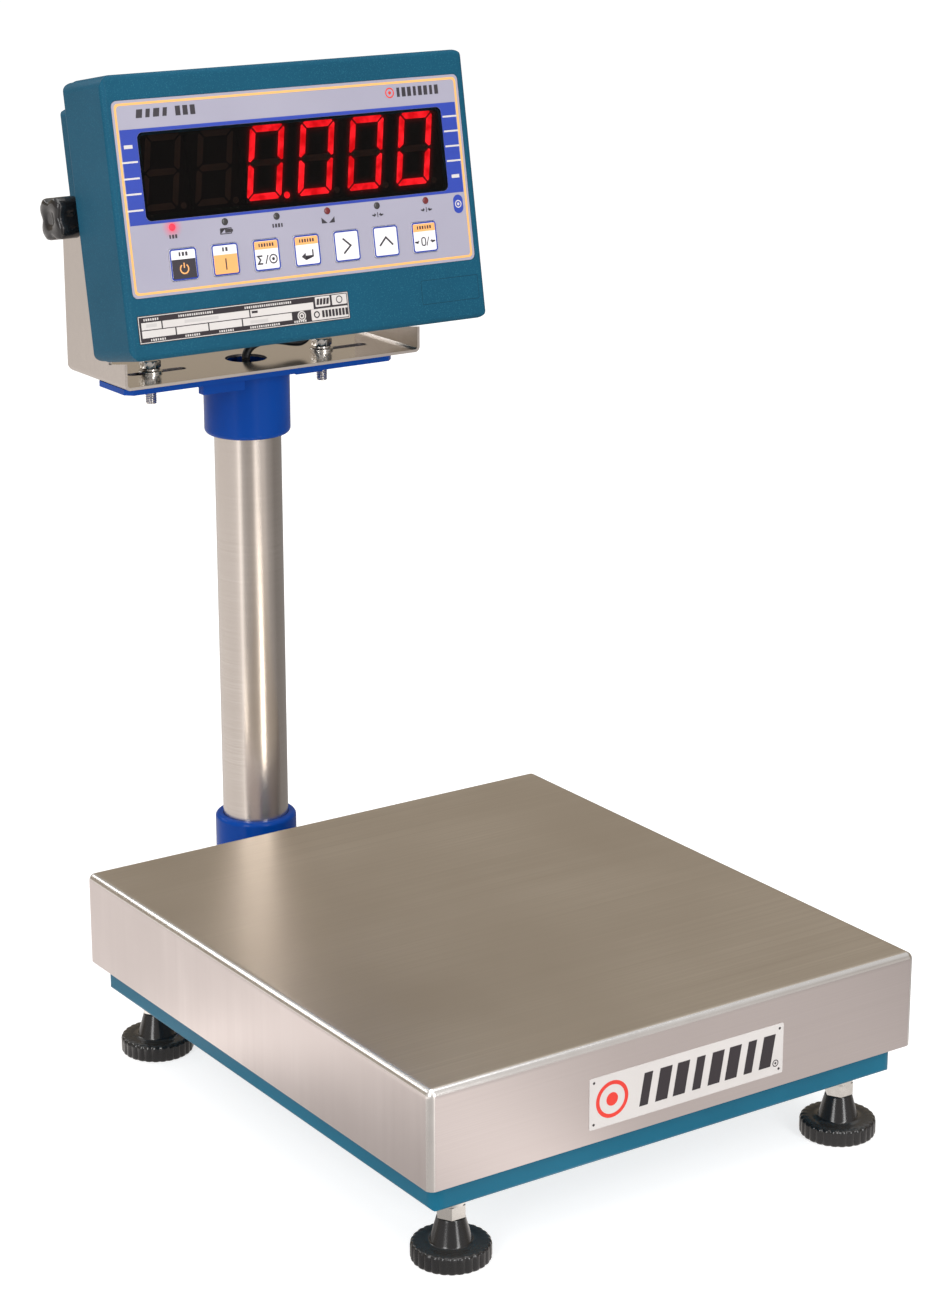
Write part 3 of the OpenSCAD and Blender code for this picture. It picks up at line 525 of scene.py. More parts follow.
def make_display_materials():
    smoked_plastic()
    halo_material()
    glowing("segment_lit", (1.0, 0.014, 0.026), (0.55, 0.0, 0.004), 9.0)
    glowing("lamp_lit", (1.0, 0.04, 0.08), (0.95, 0.01, 0.04), 1.5)
    coated("segment_unlit", (0.42, 0.29, 0.2), (0.46, 0.32, 0.22), 0.4, 400.0)
    coated("led_red", (0.010, 0.007, 0.007), (0.013, 0.009, 0.009), 0.5, 400.0)
    coated("lens_red", (0.16, 0.012, 0.016), (0.12, 0.010, 0.012), 0.25, 300.0, coat=0.4)
    coated("lens_dark", (0.03, 0.028, 0.03), (0.04, 0.038, 0.04), 0.25, 300.0, coat=0.4)


def dress_cad_nodes():
    """Gives every carried-over CAD node the detailed material of its slot."""
    for entry in frame["record"]["subparts"]:
        node = frame["nodes"][entry["node"]]
        node.data.materials.clear()
        node.data.materials.append(MATERIALS[entry["material_slot"]])


# ---- outlines and mesh helpers

def circle(x, y, r, n=24):
    return [(x + r * math.cos(2 * math.pi * k / n), y + r * math.sin(2 * math.pi * k / n)) for k in range(n)]


def rect(x, y, w, h):
    return [(x - w / 2, y - h / 2), (x + w / 2, y - h / 2), (x + w / 2, y + h / 2), (x - w / 2, y + h / 2)]


def round_rect(x, y, w, h, r, n=8):
    """Rectangle with round corners, n steps to a corner, counter-clockwise from the right side."""
    points = []
    for quarter, (sx, sy) in enumerate(((1, 1), (-1, 1), (-1, -1), (1, -1))):
        for k in range(n + 1):
            a = math.pi / 2 * (quarter + k / n)
            points.append((x + sx * (w / 2 - r) + r * math.cos(a), y + sy * (h / 2 - r) + r * math.sin(a)))
    return points


def stroke(points, width):
    """Outline of a line of even width through the points, with square ends and mitred corners."""
    left, right = [], []
    last = len(points) - 1
    sharpest = 0.35   # keeps the mitre of a sharp corner short
    for i, point in enumerate(points):
        here = Vector(point)
        before = (here - Vector(points[i - 1])).normalized() if i else None
        after = (Vector(points[i + 1]) - here).normalized() if i < last else None
        along = before if after is None else after if before is None else (before + after).normalized()
        side = Vector((-along.y, along.x))
        leg = along if before is None else before
        reach = width / 2 / max(sharpest, side.dot(Vector((-leg.y, leg.x))))
        left.append(tuple(here + side * reach))
        right.append(tuple(here - side * reach))
    return left + right[::-1]


SLANT = math.tan(math.radians(10))   # lean of the digits and of the bars that stand for slanted words


def slanted(outline, x, y):
    """Moves an outline that is drawn about its own middle and leans it to the right."""
    return [(px + x + py * SLANT, py + y) for px, py in outline]


def dashes(x, y, width, height, size=1.1, gap=0.6):
    """Row of small blocks with the rhythm of a printed word, about its middle."""
    count = max(1, round((width + gap) / (size + gap)))
    first = x - (count - 1) * (size + gap) / 2
    return [rect(first + k * (size + gap), y, size if k % 3 else 0.75 * size, height) for k in range(count)]


def arc(x, y, r, start, end):
    """Points along an arc, with angles in degrees."""
    n = 24
    return [(x + r * math.cos(math.radians(start + (end - start) * k / n)),
             y + r * math.sin(math.radians(start + (end - start) * k / n))) for k in range(n + 1)]


def plate_mesh(outlines, z, thickness):
    """Flat plate between z and z + thickness; an outline inside another one is a hole."""
    curve = bpy.data.curves.new("plate", "CURVE")
    curve.dimensions = "2D"
    curve.fill_mode = "BOTH"
    curve.extrude = thickness / 2 * MM
    for outline in outlines:
        spline = curve.splines.new("POLY")
        spline.points.add(len(outline) - 1)
        for point, (x, y) in zip(spline.points, outline):
            point.co = (x * MM, y * MM, 0, 1)
        spline.use_cyclic_u = True
    holder = new_object("plate", curve)
    bpy.context.view_layer.update()
    mesh = bpy.data.meshes.new_from_object(holder.evaluated_get(bpy.context.evaluated_depsgraph_get()))
    mesh.transform(Matrix.Translation((0, 0, (z + thickness / 2) * MM)))
    bpy.data.objects.remove(holder)
    mesh.materials.clear()
    return mesh


def loft_mesh(rings):
    """Closed skin through rings of equal point counts, in millimetres."""
    bm = bmesh.new()
    levels = [[bm.verts.new(Vector(point) * MM) for point in ring] for ring in rings]
    count = len(rings[0])
    for low, high in zip(levels, levels[1:]):
        for k in range(count):
            j = (k + 1) % count
            bm.faces.new((low[k], low[j], high[j], high[k]))
    bm.faces.new(levels[0][::-1])
    bm.faces.new(levels[-1])
    bmesh.ops.recalc_face_normals(bm, faces=bm.faces)
    return finished_mesh(bm)


def level_ring(n, z, radius):
    """Ring of n points about Z at one height, where radius(angle) gives how far out each is."""
    angles = [2 * math.pi * k / n for k in range(n)]
    return [(radius(a) * math.cos(a), radius(a) * math.sin(a), z) for a in angles]


def spin_mesh(profile, n=48, wobble=lambda angle, i: 0):
    """Solid of revolution about Z from (r, z) pairs; wobble(angle, i) may change each radius."""
    return loft_mesh([level_ring(n, z, lambda a: r + wobble(a, i)) for i, (r, z) in enumerate(profile)])


def thread_mesh(r, pitch, z0, z1, depth):
    """Screw thread as one helical ridge along Z, with plain flat ends."""
    n = 24
    per_turn = 8
    steps = int((z1 - z0) / pitch * per_turn)
    rings = []
    for i in range(steps + 1):
        z = z0 + (z1 - z0) * i / steps
        fade = min(1, i / 4, (steps - i) / 4)

        def radius(a):
            phase = ((z - z0) / pitch - a / (2 * math.pi)) % 1
            ridge = 1 - abs(2 * phase - 1)
            return r - depth * (1 - ridge * fade)

        rings.append(level_ring(n, z, radius))
    return loft_mesh(rings)


def joined(meshes):
    bm = bmesh.new()
    for mesh in meshes:
        bm.from_mesh(mesh)
        bpy.data.meshes.remove(mesh)
    return finished_mesh(bm)


def moved(mesh, matrix):
    mesh.transform(matrix)
    return mesh


def place(name, mesh, finish, body, slot, at=None, hides=(), smooth=None, bevel=None):
    """Makes a piece from a mesh, gives it its finish and lets it ride on a body."""
    mesh.name = name
    piece = new_object(name, mesh)
    if at is not None:
        piece.matrix_world = at
    for label in ([finish] if isinstance(finish, str) else finish):
        mesh.materials.append(MATERIALS[label])
    if smooth:
        mesh.shade_smooth()
        mesh.set_sharp_from_angle(angle=math.radians(smooth))
    if bevel:
        edge = piece.modifiers.new("soft_edges", "BEVEL")
        edge.width = bevel * MM
        edge.segments = 3
        edge.limit_method = "ANGLE"
        edge.harden_normals = True
    if body:
        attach(piece, body)
    if hides:
        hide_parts(*hides)
    return piece


# ---- platform

PAN_W, PAN_D, PAN_TOP = 376, 428, 129.5
SKIRT, PAN_T, PAN_R = 64.8, 1.5, 5.0
TIGHTEST_BEND = 0.4
PLATE_X, PLATE_Z, PLATE_T = 3, 90.8, 0.44


def pan_ring(inset, z):
    corner = max(TIGHTEST_BEND, PAN_R - inset)
    return [(x, y, z) for x, y in round_rect(0, 0, PAN_W - 2 * inset, PAN_D - 2 * inset, corner)]


def bent_profile(inset, top, r):
    """Skirt, then the bend over to the top, as (inset, z) pairs."""
    steps = 6
    bottom = PAN_TOP - SKIRT
    pairs = [(inset, bottom), (inset, bottom + 2), (inset, top - r - 1)]
    for k in range(steps + 1):
        a = math.pi / 2 * k / steps
        pairs.append((inset + r * (1 - math.cos(a)), top - r + r * math.sin(a)))
    pairs.append((inset + r + 2, top))
    return pairs


def make_pan():
    outer = bent_profile(0, PAN_TOP, PAN_R)
    inner = bent_profile(PAN_T, PAN_TOP - PAN_T, PAN_R - PAN_T)
    mesh = loft_mesh([pan_ring(inset, z) for inset, z in inner[::-1] + outer])
    for face in mesh.polygons:   # 0 is the top, 1 front and back, 2 the sides, 3 the bends
        n = face.normal
        if abs(n.z) > 0.97:
            face.material_index = 0
        elif abs(n.z) > 0.2 or min(abs(n.x), abs(n.y)) > 0.2:
            face.material_index = 3
        else:
            face.material_index = 1 if abs(n.y) > abs(n.x) else 2
    place("pan_sheet", mesh, ["pan_steel", "pan_front", "pan_side", "pan_edge"], "pan", "pan_steel", PLATFORM,
          ["pan"], smooth=40)


def make_pan_label():
    at = PLATFORM @ Matrix.Translation((PLATE_X * MM, -PAN_D / 2 * MM, PLATE_Z * MM))
    at = at @ Matrix.Rotation(math.pi / 2, 4, "X")

    def layer(name, outlines, finish, z=PLATE_T, thickness=PRINT_T, **more):
        place(name, plate_mesh(outlines, z, thickness), finish, "pan", "label_white", at, **more)

    layer("name_plate", [round_rect(0, 0, 151, 34, 1.2)], "label_white", 0, PLATE_T,
          hides=["pan_label"], bevel=0.12)
    mark = [circle(-58.5, 0, 12.2, 48), circle(-58.5, 0, 9.6, 48), circle(-58.5, 0, 4.4, 32)]
    layer("plate_mark", mark, "label_red")
    bars = [slanted(rect(0, 0, 9.4 if k % 3 else 6.6, 21.5), -32.6 + 13.6 * k, 0) for k in range(8)]
    bars += [circle(69.6, -9.4, 2.4), circle(69.6, -9.4, 1.8), circle(69.6, -9.4, 0.8, 16)]
    layer("plate_bars", bars, "label_black")
    corners = [circle(sx * 72.3, sy * 13.8, 0.9, 16) for sx in (-1, 1) for sy in (-1, 1)]
    layer("plate_holes", corners, "label_black", thickness=0.03)


FOOT_X, FOOT_Y = 153, 184
FEET = {"fl": (-1, -1), "fr": (1, -1), "rl": (-1, 1), "rr": (1, 1)}
FOOT_PROFILE = [
    (3, 0.6), (20, 0.6), (21, 0), (23.4, 0), (24.6, 0.9), (25, 2.0), (25, 9.2), (24.7, 10.6), (23.8, 11.6),
    (22.4, 12.0), (17.5, 11.7), (14.2, 11.7), (13.4, 12.3), (12.9, 13.2), (9.0, 27.6), (8.6, 28.4),
    (7.8, 28.7), (5.3, 28.7),
]
STUD_R, STUD_PITCH, STUD_DEPTH = 4.95, 1.5, 0.75
STUD_FROM, STUD_TO = 8.3, 58.3
FLUTES = 28
FLUTE_DEPTH = 0.95
FLUTED = range(3, 9)   # the points of the profile that lie on the rim


def flute(angle, i):
    """Change of radius that cuts the grip flutes into the rim."""
    if i not in FLUTED:
        return 0
    return -FLUTE_DEPTH * max(0, math.cos(FLUTES * angle) - 0.1)


def make_feet():
    per_flute = 6
    for tag, (sx, sy) in FEET.items():
        at = PLATFORM @ Matrix.Translation((sx * FOOT_X * MM, sy * FOOT_Y * MM, 0))
        moulding = spin_mesh(FOOT_PROFILE, FLUTES * per_flute, flute)
        place(f"foot_{tag}_moulding", moulding, "foot_plastic", f"foot_{tag}", "foot_plastic", at,
              [f"foot_{tag}_pad"], smooth=50)
        thread = thread_mesh(STUD_R, STUD_PITCH, STUD_FROM, STUD_TO, STUD_DEPTH)
        place(f"foot_{tag}_threaded_stud", thread, "zinc_steel", f"foot_{tag}_screw", "zinc_steel", at,
              [f"foot_{tag}_stud"], smooth=60)


# ---- column and bracket

def hexagon(flats, z0, z1):
    """Hexagon with its corners turned off at both ends, as a list of rings."""
    r = flats / 2 / math.cos(math.pi / 6)
    n = 36
    turned = 0.48

    def ring(z, limit):
        def radius(a):
            return min(limit, flats / 2 / math.cos((a + math.pi / 6) % (math.pi / 3) - math.pi / 6))

        return level_ring(n, z, radius)

    cut = flats / 2 * 0.99
    return [ring(z0, cut), ring(z0 + turned, r), ring(z1 - turned, r), ring(z1, cut)]


def split_washer(r_in, r_out, z, t):
    """Spring washer: a ring with a slanting split, its two ends a little apart in height."""
    rings = []
    n = 40
    split, rise = 16, 0.7   # width of the split in degrees, and how far its ends are apart
    for k in range(n + 1):
        a = math.radians(split / 2 + (360 - split) * k / n)
        lift = rise * (k / n - 0.5)
        rings.append([(r * math.cos(a), r * math.sin(a), z + h + lift)
                      for r, h in ((r_in, 0), (r_out, 0), (r_out, t), (r_in, t))])
    return loft_mesh(rings)


BOLT_X, BOLT_Y = (-80, 60), 300
BRACKET_FLOOR = 452


def make_bracket_bolts():
    z = BRACKET_FLOOR
    meshes = []
    for x in BOLT_X:
        spot = Matrix.Translation((x * MM, BOLT_Y * MM, 0))
        flat = spin_mesh([(4.3, z), (8.3, z), (8.5, z + 0.2), (8.5, z + 1.35), (8.3, z + 1.55),
                          (4.3, z + 1.55)])
        spring = split_washer(4.3, 6.8, z + 1.9, 1.2)
        head = loft_mesh(hexagon(13, z + 3.5, z + 8.8))
        thread = thread_mesh(4.0, 1.25, z - 22, z + 3.5, 0.62)
        meshes += [moved(part, spot) for part in (flat, spring, head, thread)]
    place("bracket_bolt_set", joined(meshes), "zinc_steel", "mast_head", "zinc_steel", PLATFORM,
          ["bracket_bolts"], smooth=35)


LEAD_R = 3
LEAD_ROUTE = [
    (0, 305, 452.1), (1, 305, 456), (5, 305, 460), (12, 304.5, 462.5), (20, 303.5, 463),
    (28, 302, 462), (35, 300, 460.6), (40.5, 297.8, 460.4), (44, 296.2, 462.4), (45, 295.6, 465),
    (45, 295.75, 467.9),
]


def tube_mesh(route, r):
    """Round tube along a smooth curve through the route's points."""
    n, steps = 20, 5
    points = []
    last = len(route) - 1
    for i in range(last):
        p0, p1, p2, p3 = (Vector(route[max(0, min(last, i + j))]) for j in (-1, 0, 1, 2))
        for k in range(steps):
            t = k / steps
            points.append(0.5 * (2 * p1 + (p2 - p0) * t + (2 * p0 - 5 * p1 + 4 * p2 - p3) * t * t
                                 + (3 * p1 - p0 - 3 * p2 + p3) * t ** 3))
    points.append(Vector(route[-1]))
    rings = []
    for i, point in enumerate(points):
        along = (points[min(i + 1, len(points) - 1)] - points[max(i - 1, 0)]).normalized()
        u = along.cross(Vector((0.02, 1, 0.03))).normalized()
        v = along.cross(u)
        rings.append([point + r * (math.cos(2 * math.pi * k / n) * u + math.sin(2 * math.pi * k / n) * v)
                      for k in range(n)])
    return loft_mesh(rings)


def make_lead_loop():
    mesh = tube_mesh([(x, y + MIDDLE_Y, z) for x, y, z in LEAD_ROUTE], LEAD_R)
    piece = place("indicator_lead", mesh, "cable_jacket", None, "cable_jacket", hides=["lead_loop"],
                  smooth=60)
    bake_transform(piece)


# ---- knobs

# radius, height and depth of the hollows, from the case outwards
KNOB_RINGS = [
    (3.2, 120.3, 0), (8.2, 120.3, 0), (9.0, 121.2, 0), (9.0, 131.6, 0), (10.5, 132.6, 0.6),
    (14.6, 133.0, 3.6), (16.2, 133.8, 4.6), (17.0, 135.4, 5.0), (17.0, 147.6, 5.0), (16.4, 149.6, 4.9),
    (14.8, 150.7, 4.4), (11.0, 151.0, 2.4), (6.0, 150.8, 0.4), (5.2, 150.2, 0), (3.0, 150.1, 0),
]


def knob_ring(reach, z, dent):
    """Four-lobed outline: dent is how deep the hollows between the lobes are."""
    return level_ring(96, z, lambda a: reach - dent * (0.5 + 0.5 * math.cos(4 * a)) ** 1.5)


def make_knobs():
    for name, side in (("knob_left", -1), ("knob_right", 1)):
        at = FACE @ Matrix.Rotation(side * math.pi / 2, 4, "Y")
        grip = loft_mesh([knob_ring(*row) for row in KNOB_RINGS])
        place(f"{name}_grip", grip, "foot_plastic", name, "foot_plastic", at, [name], smooth=60)


# ---- printed film and display

def film_piece(name, outlines, finish, z=FILM_TOP, body="indicator", slot="overlay_film", thickness=PRINT_T):
    place(name, plate_mesh(outlines, z, thickness), finish, body, slot, FACE)


def overprint(name, outlines, finish):
    """Thin second colour on top of the film's print."""
    film_piece(name, outlines, finish, FILM_TOP + PRINT_T, thickness=OVERPRINT_T)


def make_film_print():
    film_y = FACE_Y + 12.1
    window_y = FACE_Y + 26.1
    band_mid = FACE_Y + 26.4
    edge = [round_rect(0, film_y, 269.4, 125.8, 3), round_rect(0, film_y, 266.2, 122.6, 2.4)]
    film_piece("film_pinstripe", edge, "film_orange")
    band = [rect(0, band_mid, 265.0, 62.7), round_rect(0, window_y, 240.2, 58.5, 4)]
    film_piece("film_band", band, "film_blue")
    lines = [rect(-127.3, FACE_Y + y, 11.8, 1.2) for y in (36.4, 25.7, 15.5, 4.8)]
    lines += [rect(127.0, FACE_Y + y, 11.8, 1.2) for y in (48.1, 37.9, 27.5, 17.3)]
    overprint("film_cell_lines", lines, "label_white")


SEGMENTS = ("top", "top_left", "top_right", "middle", "bottom_left", "bottom_right", "bottom")
DIGITS = 6
BLANK_DIGITS = 2   # how many stay dark on the left
DIGIT_BOARD_TOP = 76.85
DIGIT_W, DIGIT_H, SEG_T = 27, 49.8, 4.4
SEG_GAP = 0.8
SEG_CORNER = 1.9   # how much of the digit's outer corner is cut off


def segment_outline(name):
    """One segment of the digit as a mitred bar, upright, about the digit's middle."""
    x, y, t, g, c = DIGIT_W / 2, DIGIT_H / 2, SEG_T, SEG_GAP, SEG_CORNER
    if name == "top":
        return [(-x + g + c, y), (x - g - c, y), (x - g - c / 2, y - c / 2), (x - t - g, y - t),
                (-x + t + g, y - t), (-x + g + c / 2, y - c / 2)]
    if name == "bottom":
        return [(px, -py) for px, py in reversed(segment_outline("top"))]
    if name == "middle":
        h = t / 2
        return [(-x + g + 1.2, 0), (-x + h + g + 1.2, h), (x - h - g - 1.2, h), (x - g - 1.2, 0),
                (x - h - g - 1.2, -h), (-x + h + g + 1.2, -h)]
    if name == "top_left":
        return [(-x, y - g - c), (-x + c / 2, y - g - c / 2), (-x + t, y - t - g), (-x + t, t / 2 + g + 0.6),
                (-x + 1.4, g + 0.2), (-x, g + 0.8)]
    if name == "top_right":
        return [(-px, py) for px, py in reversed(segment_outline("top_left"))]
    if name == "bottom_left":
        return [(px, -py) for px, py in reversed(segment_outline("top_left"))]
    return [(-px, -py) for px, py in segment_outline("top_left")]


def glow_mesh(outlines, left, right, low, high):
    """Grid whose attribute glow is 1 at the nearest outline's edge and fades to 0 at the reach."""
    reach, step = 6.0, 1.5
    far = 25   # edges this far to the side can't be the nearest
    edges = [(Vector(a), Vector(b)) for line in outlines for a, b in zip(line, line[1:] + line[:1])]
    bm = bmesh.new()
    layer = bm.verts.layers.float.new("glow")
    columns = round((right - left) / step)
    rows = round((high - low) / step)
    grid = []
    for j in range(rows + 1):
        for i in range(columns + 1):
            spot = Vector((left + (right - left) * i / columns, low + (high - low) * j / rows))
            gap = reach
            for a, b in edges:
                if abs(a.x - spot.x) > far and abs(b.x - spot.x) > far:
                    continue
                along = b - a
                t = max(0, min(1, (spot - a).dot(along) / along.length_squared))
                gap = min(gap, (a + t * along - spot).length)
            vertex = bm.verts.new((spot.x * MM, spot.y * MM, 0))
            vertex[layer] = (1 - gap / reach) ** 3
            grid.append(vertex)
    for j in range(rows):
        for i in range(columns):
            corner = j * (columns + 1) + i
            bm.faces.new([grid[corner + k] for k in (0, 1, columns + 2, columns + 1)])
    return finished_mesh(bm)


def make_digits():
    digit_y = FACE_Y + 28.4
    lit, unlit = [], []
    for k in range(DIGITS):
        x = (k - (DIGITS - 1) / 2) * DIGIT_PITCH + DIGIT_X
        for name in SEGMENTS:
            shines = k >= BLANK_DIGITS and name != "middle"
            (lit if shines else unlit).append(slanted(segment_outline(name), x, digit_y))
        dot = circle(x + 13.8, FACE_Y + 5.2, 2.3)
        (lit if k == BLANK_DIGITS else unlit).append(dot)
    haze = glow_mesh(lit, -38, 122, digit_y - DIGIT_H / 2 - 4, digit_y + DIGIT_H / 2 + 4)
    under = Matrix.Translation((0, 0, (DIGIT_BOARD_TOP - 0.02) * MM))
    place("digit_glow", haze, "segment_halo", "indicator", "led_red", FACE @ under)
    for state, outlines, thickness in (("unlit", unlit, 0.08), ("lit", lit, 0.12)):
        film_piece(f"digit_segments_{state}", outlines, f"segment_{state}", DIGIT_BOARD_TOP, slot="led_red",
                   thickness=thickness)


LAMPS = ("lamp_lit", "lens_dark", "lens_dark", "lens_red", "lens_dark", "lens_red")
LENS_PROFILE = [(2.4, 80.2), (2.4, 80.95), (2.2, 81.15), (1.7, 81.32), (1.0, 81.42), (0.3, 81.45)]


def lamp_x(k):
    return (k - (len(LAMPS) - 1) / 2) * LED_PITCH + LED_X


def make_lamps():
    for k, finish in enumerate(LAMPS):
        at = FACE @ Matrix.Translation((lamp_x(k) * MM, LED_Y * MM, 0))
        hides = ["indicator_lenses"] if k == 0 else ()
        lens = spin_mesh(LENS_PROFILE, 32)
        place(f"lamp_{k + 1}", lens, finish, "indicator", "lens_red", at, hides, smooth=60)


def make_lamp_signs():
    """Generic signs under the lamps, where words are usually printed."""
    y = LED_Y - 6.2
    xs = [lamp_x(k) for k in range(len(LAMPS))]
    signs = dashes(xs[0], y, 7.0, 2.6, 1.5, 0.8)
    x = xs[1]
    cell = [(x - 4.2, y + 1.8), (x + 4.2, y + 1.8), (x + 4.2, y - 1.8), (x - 4.2, y - 1.8),
            (x - 4.2, y + 1.6)]
    signs += [stroke(cell, 0.6), rect(x + 1.6, y, 4.4, 2.4), rect(x + 5.0, y, 0.9, 1.8)]
    signs += dashes(xs[2], y, 9.5, 2.6, 1.5, 0.8)
    x = xs[3]
    signs += [[(x - 5.2, y + 2), (x - 0.6, y - 2), (x - 5.2, y - 2)],
              [(x + 5.2, y + 2), (x + 5.2, y - 2), (x + 0.6, y - 2)]]
    for x in xs[4:]:
        for side in (-1, 1):
            head = [(x + side * 2.6, y + 1.2), (x + side * 0.9, y), (x + side * 2.6, y - 1.2)]
            signs += [stroke([(x + side * 4.6, y), (x + side * 1.6, y)], 0.6), head]
        signs += [stroke([(x, y - 1.7), (x, y + 1.7)], 0.6)]
    film_piece("lamp_signs", signs, "film_dark")


def make_badge_and_title():
    badge_x, badge_y = 127.0, FACE_Y - 13
    film_piece("radio_badge", [round_rect(badge_x, badge_y, 8.0, 13.0, 4.0)], "film_blue")
    overprint("radio_badge_ring", [circle(badge_x, badge_y, r, 28) for r in (2.7, 2.0, 1.0)], "label_white")
    title_y = FACE_Y + 67.5
    title = [slanted(rect(0, 0, 3.2 if k % 2 else 4.6, 5.6), -116.5 + 6.4 * k, title_y) for k in range(4)]
    title += [rect(-87.5 + 5.6 * k, title_y, 3.8, 6.4) for k in range(3)]
    title += [rect(86.5 + 4.5 * k, title_y, 3.1 if k % 3 else 2.4, 6.4) for k in range(8)]
    film_piece("title_bars", title, "film_dark", thickness=OVERPRINT_T)
    ring = [circle(79.5, title_y, r, 28) for r in (3.6, 2.7, 1.2)]
    film_piece("title_ring", ring, "label_red", thickness=OVERPRINT_T)
    units = [rect(-127.3, FACE_Y + 46.5, 6.4, 2.4), rect(127.0, FACE_Y + 6.5, 6.4, 2.4)]
    overprint("unit_bars", units, "label_white")


def key_sign(body, x, y):
    """Name, outlines and finish of a key's generic sign; y is the middle of the space it stands in."""
    if body == "key_off":
        return "power_sign", [stroke(arc(x, y, 3.1, 125, 415), 0.9), stroke([(x, y + 0.6), (x, y + 4)], 0.9)]
    if body == "key_on":
        return "bar_sign", [rect(x, y, 1.0, 7.6)]
    if body == "key_print":
        total = [(x - 3.6, y + 2.6), (x - 7.2, y + 2.6), (x - 5.2, y), (x - 7.2, y - 2.6), (x - 3.6, y - 2.6)]
        rings = [circle(x + 4.8, y, 3.3, 28), circle(x + 4.8, y, 2.4, 28), circle(x + 4.8, y, 1.1, 16)]
        return "add_sign", [stroke(total, 1.1), stroke([(x - 1.4, y - 3), (x + 0.8, y + 3)], 0.9)] + rings
    if body == "key_enter":
        return "return_sign", [stroke([(x + 4.2, y + 3.4), (x + 4.2, y - 1), (x - 2.2, y - 1)], 1.1),
                               [(x - 1.6, y + 1.6), (x - 5.0, y - 1), (x - 1.6, y - 3.6)]]
    if body == "key_next":
        return "right_sign", [stroke([(x - 3, KEY_Y + 5.2), (x + 3, KEY_Y), (x - 3, KEY_Y - 5.2)], 1.3)]
    if body == "key_up":
        return "up_sign", [stroke([(x - 5.4, KEY_Y - 2.8), (x, KEY_Y + 2.8), (x + 5.4, KEY_Y - 2.8)], 1.3)]
    sign = []
    for side in (-1, 1):
        sign += [stroke([(x + side * 8.4, y), (x + side * 5.4, y)], 0.9),
                 [(x + side * 6.0, y + 1.3), (x + side * 4.2, y), (x + side * 6.0, y - 1.3)]]
    sign += [round_rect(x - 1.2, y, 4.0, 6.4, 2.0), round_rect(x - 1.2, y, 2.2, 4.6, 1.1),
             stroke([(x + 1.2, y - 3), (x + 3.2, y + 3)], 0.7)]
    return "zero_sign", sign


def make_keys():
    w, h = 20.5, 21.2
    half = h / 2
    strip_h = 6.8
    strip_y = KEY_Y + half - strip_h / 2
    lower_h = h - strip_h - 1.2
    lower_y = KEY_Y - half + lower_h / 2 + 0.9
    over = KEY_TOP + KEY_PRINT_T
    for k, body in enumerate(KEYS):
        x = (k - (len(KEYS) - 1) / 2) * KEY_PITCH

        def key(name, outlines, finish="film_dark", z=KEY_TOP):
            film_piece(f"{body}_{name}", outlines, finish, z, body, "key_film", KEY_PRINT_T)

        edge = [round_rect(x, KEY_Y, w - 0.2, h - 0.2, 2), round_rect(x, KEY_Y, w - 2.3, h - 2.3, 1.2)]
        key("outline", edge, "film_line_blue")
        if body in ("key_print", "key_enter", "key_zero"):
            key("strip", [rect(x, strip_y - 0.6, w - 2.5, strip_h - 1.5)], "key_peach")
            key("strip_sign", dashes(x, strip_y - 0.5, 11.5, 2.3, 1.3, 0.8), z=over)
        if body in ("key_off", "key_on"):
            off = body == "key_off"
            key("lower", [rect(x, lower_y, w - 2.5, lower_h - 0.3)], "film_dark" if off else "key_peach")
            key("strip_sign", dashes(x, strip_y - 0.4, 7.4 if off else 4.8, 2.7, 1.7, 0.9))
            key(*key_sign(body, x, lower_y), "key_peach" if off else "film_dark", over)
        else:
            key(*key_sign(body, x, lower_y))


RATING_TOP = 81.3
RATING_PRINT_T = 0.04


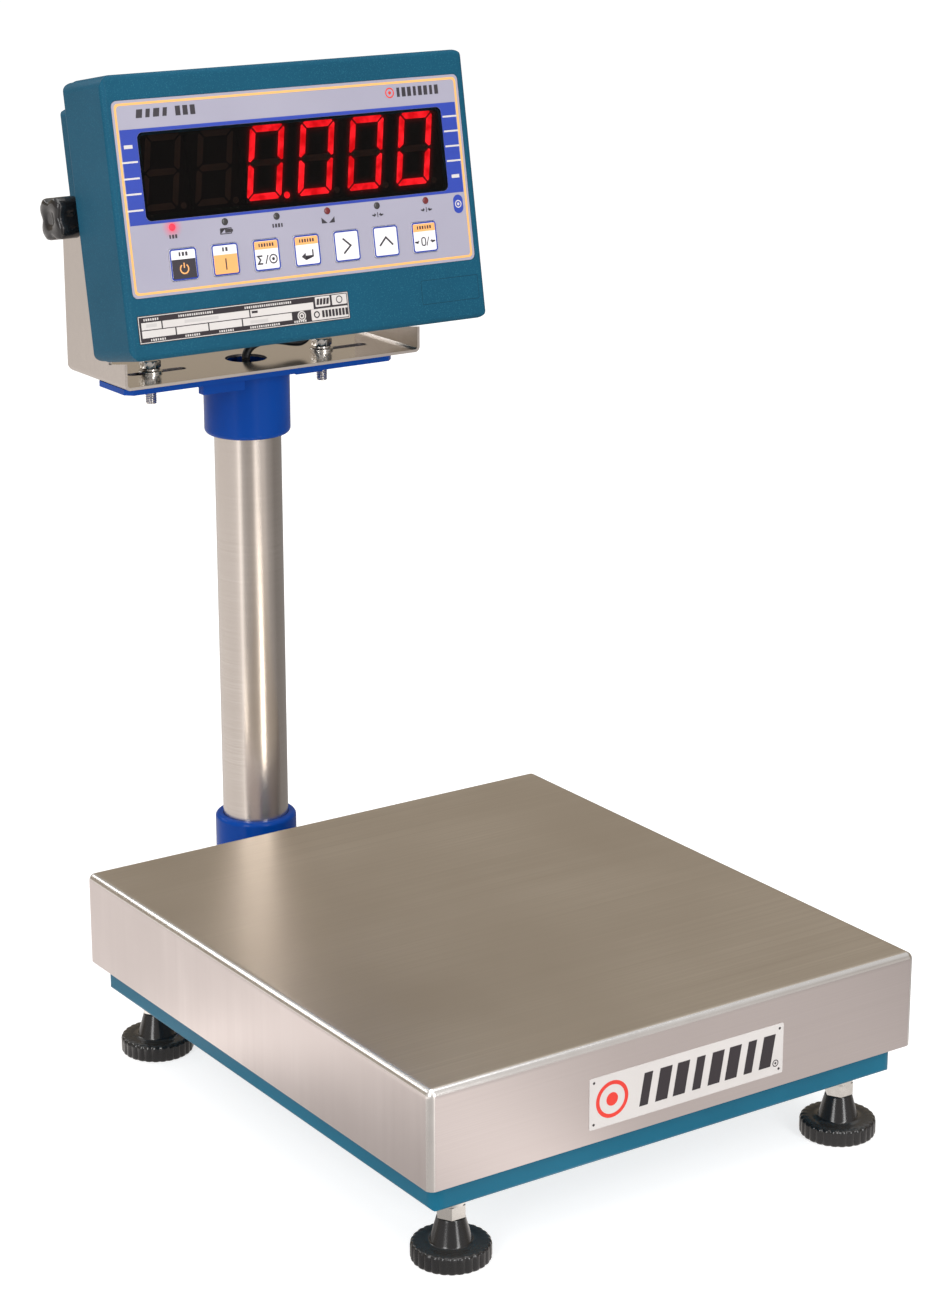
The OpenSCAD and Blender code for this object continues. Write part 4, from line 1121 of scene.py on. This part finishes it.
def make_rating_label():
    """White label with its cells, bars for the headings and marks, and grey bars for the entries."""
    x0, y0 = -53.5, FACE_Y - 73.5

    def layer(name, outlines, finish="label_white", z=RATING_TOP, thickness=RATING_PRINT_T):
        film_piece(name, outlines, finish, z, slot="label_white", thickness=thickness)

    layer("rating_border", [rect(x0, y0, 163.2, 17.8), rect(x0, y0, 162.2, 16.8)])
    upper = [(-79.6, 15), (-63.6, 66.4), (3.8, 49.8)]
    lower = [(-79.6, 25), (-53.6, 24), (-28.6, 25), (-2.6, 38.4)]
    cells = [rect(x0 + left + wide / 2, y0 + 2.3, wide, 4.8) for left, wide in upper]
    cells += [rect(x0 + left + wide / 2, y0 - 3.1, wide, 4.8) for left, wide in lower]
    cells += [round_rect(x0 + x, y0 + 4.5, 11.8, 6.8, 0.6, 3) for x in (61.2, 74.6)]
    cells += [round_rect(x0 + 66, y0 - 4.0, 29.5, 7.6, 0.6, 3), circle(x0 + 43.6, y0 - 3.6, 3.3, 28)]
    layer("rating_cells", cells)
    bars = []
    for x, w in ((-72, 11), (-38, 26), (18, 36)):
        bars += dashes(x0 + x, y0 + 6.5, w, 1.5)
    for x, w in ((-68, 11), (-42, 11), (-16, 11), (14, 24), (42, 9)):
        bars += dashes(x0 + x, y0 - 7.1, w, 1.4)
    layer("rating_bars", bars)
    over = RATING_TOP + RATING_PRINT_T
    entries = [rect(x0 + x, y0 + 2.5, w, 2.2) for x, w in ((-72, 8), (-34, 26))]
    entries += [rect(x0 + 10, y0 - 3.5, 14, 2.2)]
    layer("rating_entries", entries, "label_grey", over, OVERPRINT_T)
    marks = [slanted(rect(0, 0, 1.9, 4.2), x0 + 57.4 + 2.6 * k, y0 + 4.5) for k in range(4)]
    marks += [circle(x0 + 74.6, y0 + 4.5, r) for r in (2.6, 1.9)]
    marks += [circle(x0 + 43.6, y0 - 3.6, r) for r in (2.5, 1.9, 0.9)]
    marks += [circle(x0 + 55.6, y0 - 4.0, r) for r in (2.4, 1.5)]
    marks += [rect(x0 + 60.8 + 2.7 * k, y0 - 4.0, 1.9, 4.8) for k in range(8)]
    marks += [rect(x0 + 7.2, y0 + 3.0, 4.6, 1.6)]
    layer("rating_marks", marks, "label_black", over, OVERPRINT_T)


def make_case_panel():
    x, y = 113, FACE_Y - 71.8
    outline = [round_rect(x, y, 48, 16.9, 1, 3), round_rect(x, y, 47.3, 16.2, 0.8, 3)]
    # the groove is drawn as a thin darker ring: painted shade
    film_piece("case_panel_groove", outline, "housing_groove", 81.0, slot="housing_teal", thickness=0.01)


# ---- assembly

make_camera()
GROUPS = {"brushed": brushed_group(), "grain": grain_group()}
make_metals()
make_coats()
make_display_materials()
dress_cad_nodes()
make_studio()
make_sky()
make_lead_loop()
make_pan()
make_pan_label()
make_feet()
make_bracket_bolts()
make_knobs()
make_film_print()
make_digits()
make_lamps()
make_lamp_signs()
make_badge_and_title()
make_keys()
make_rating_label()
make_case_panel()
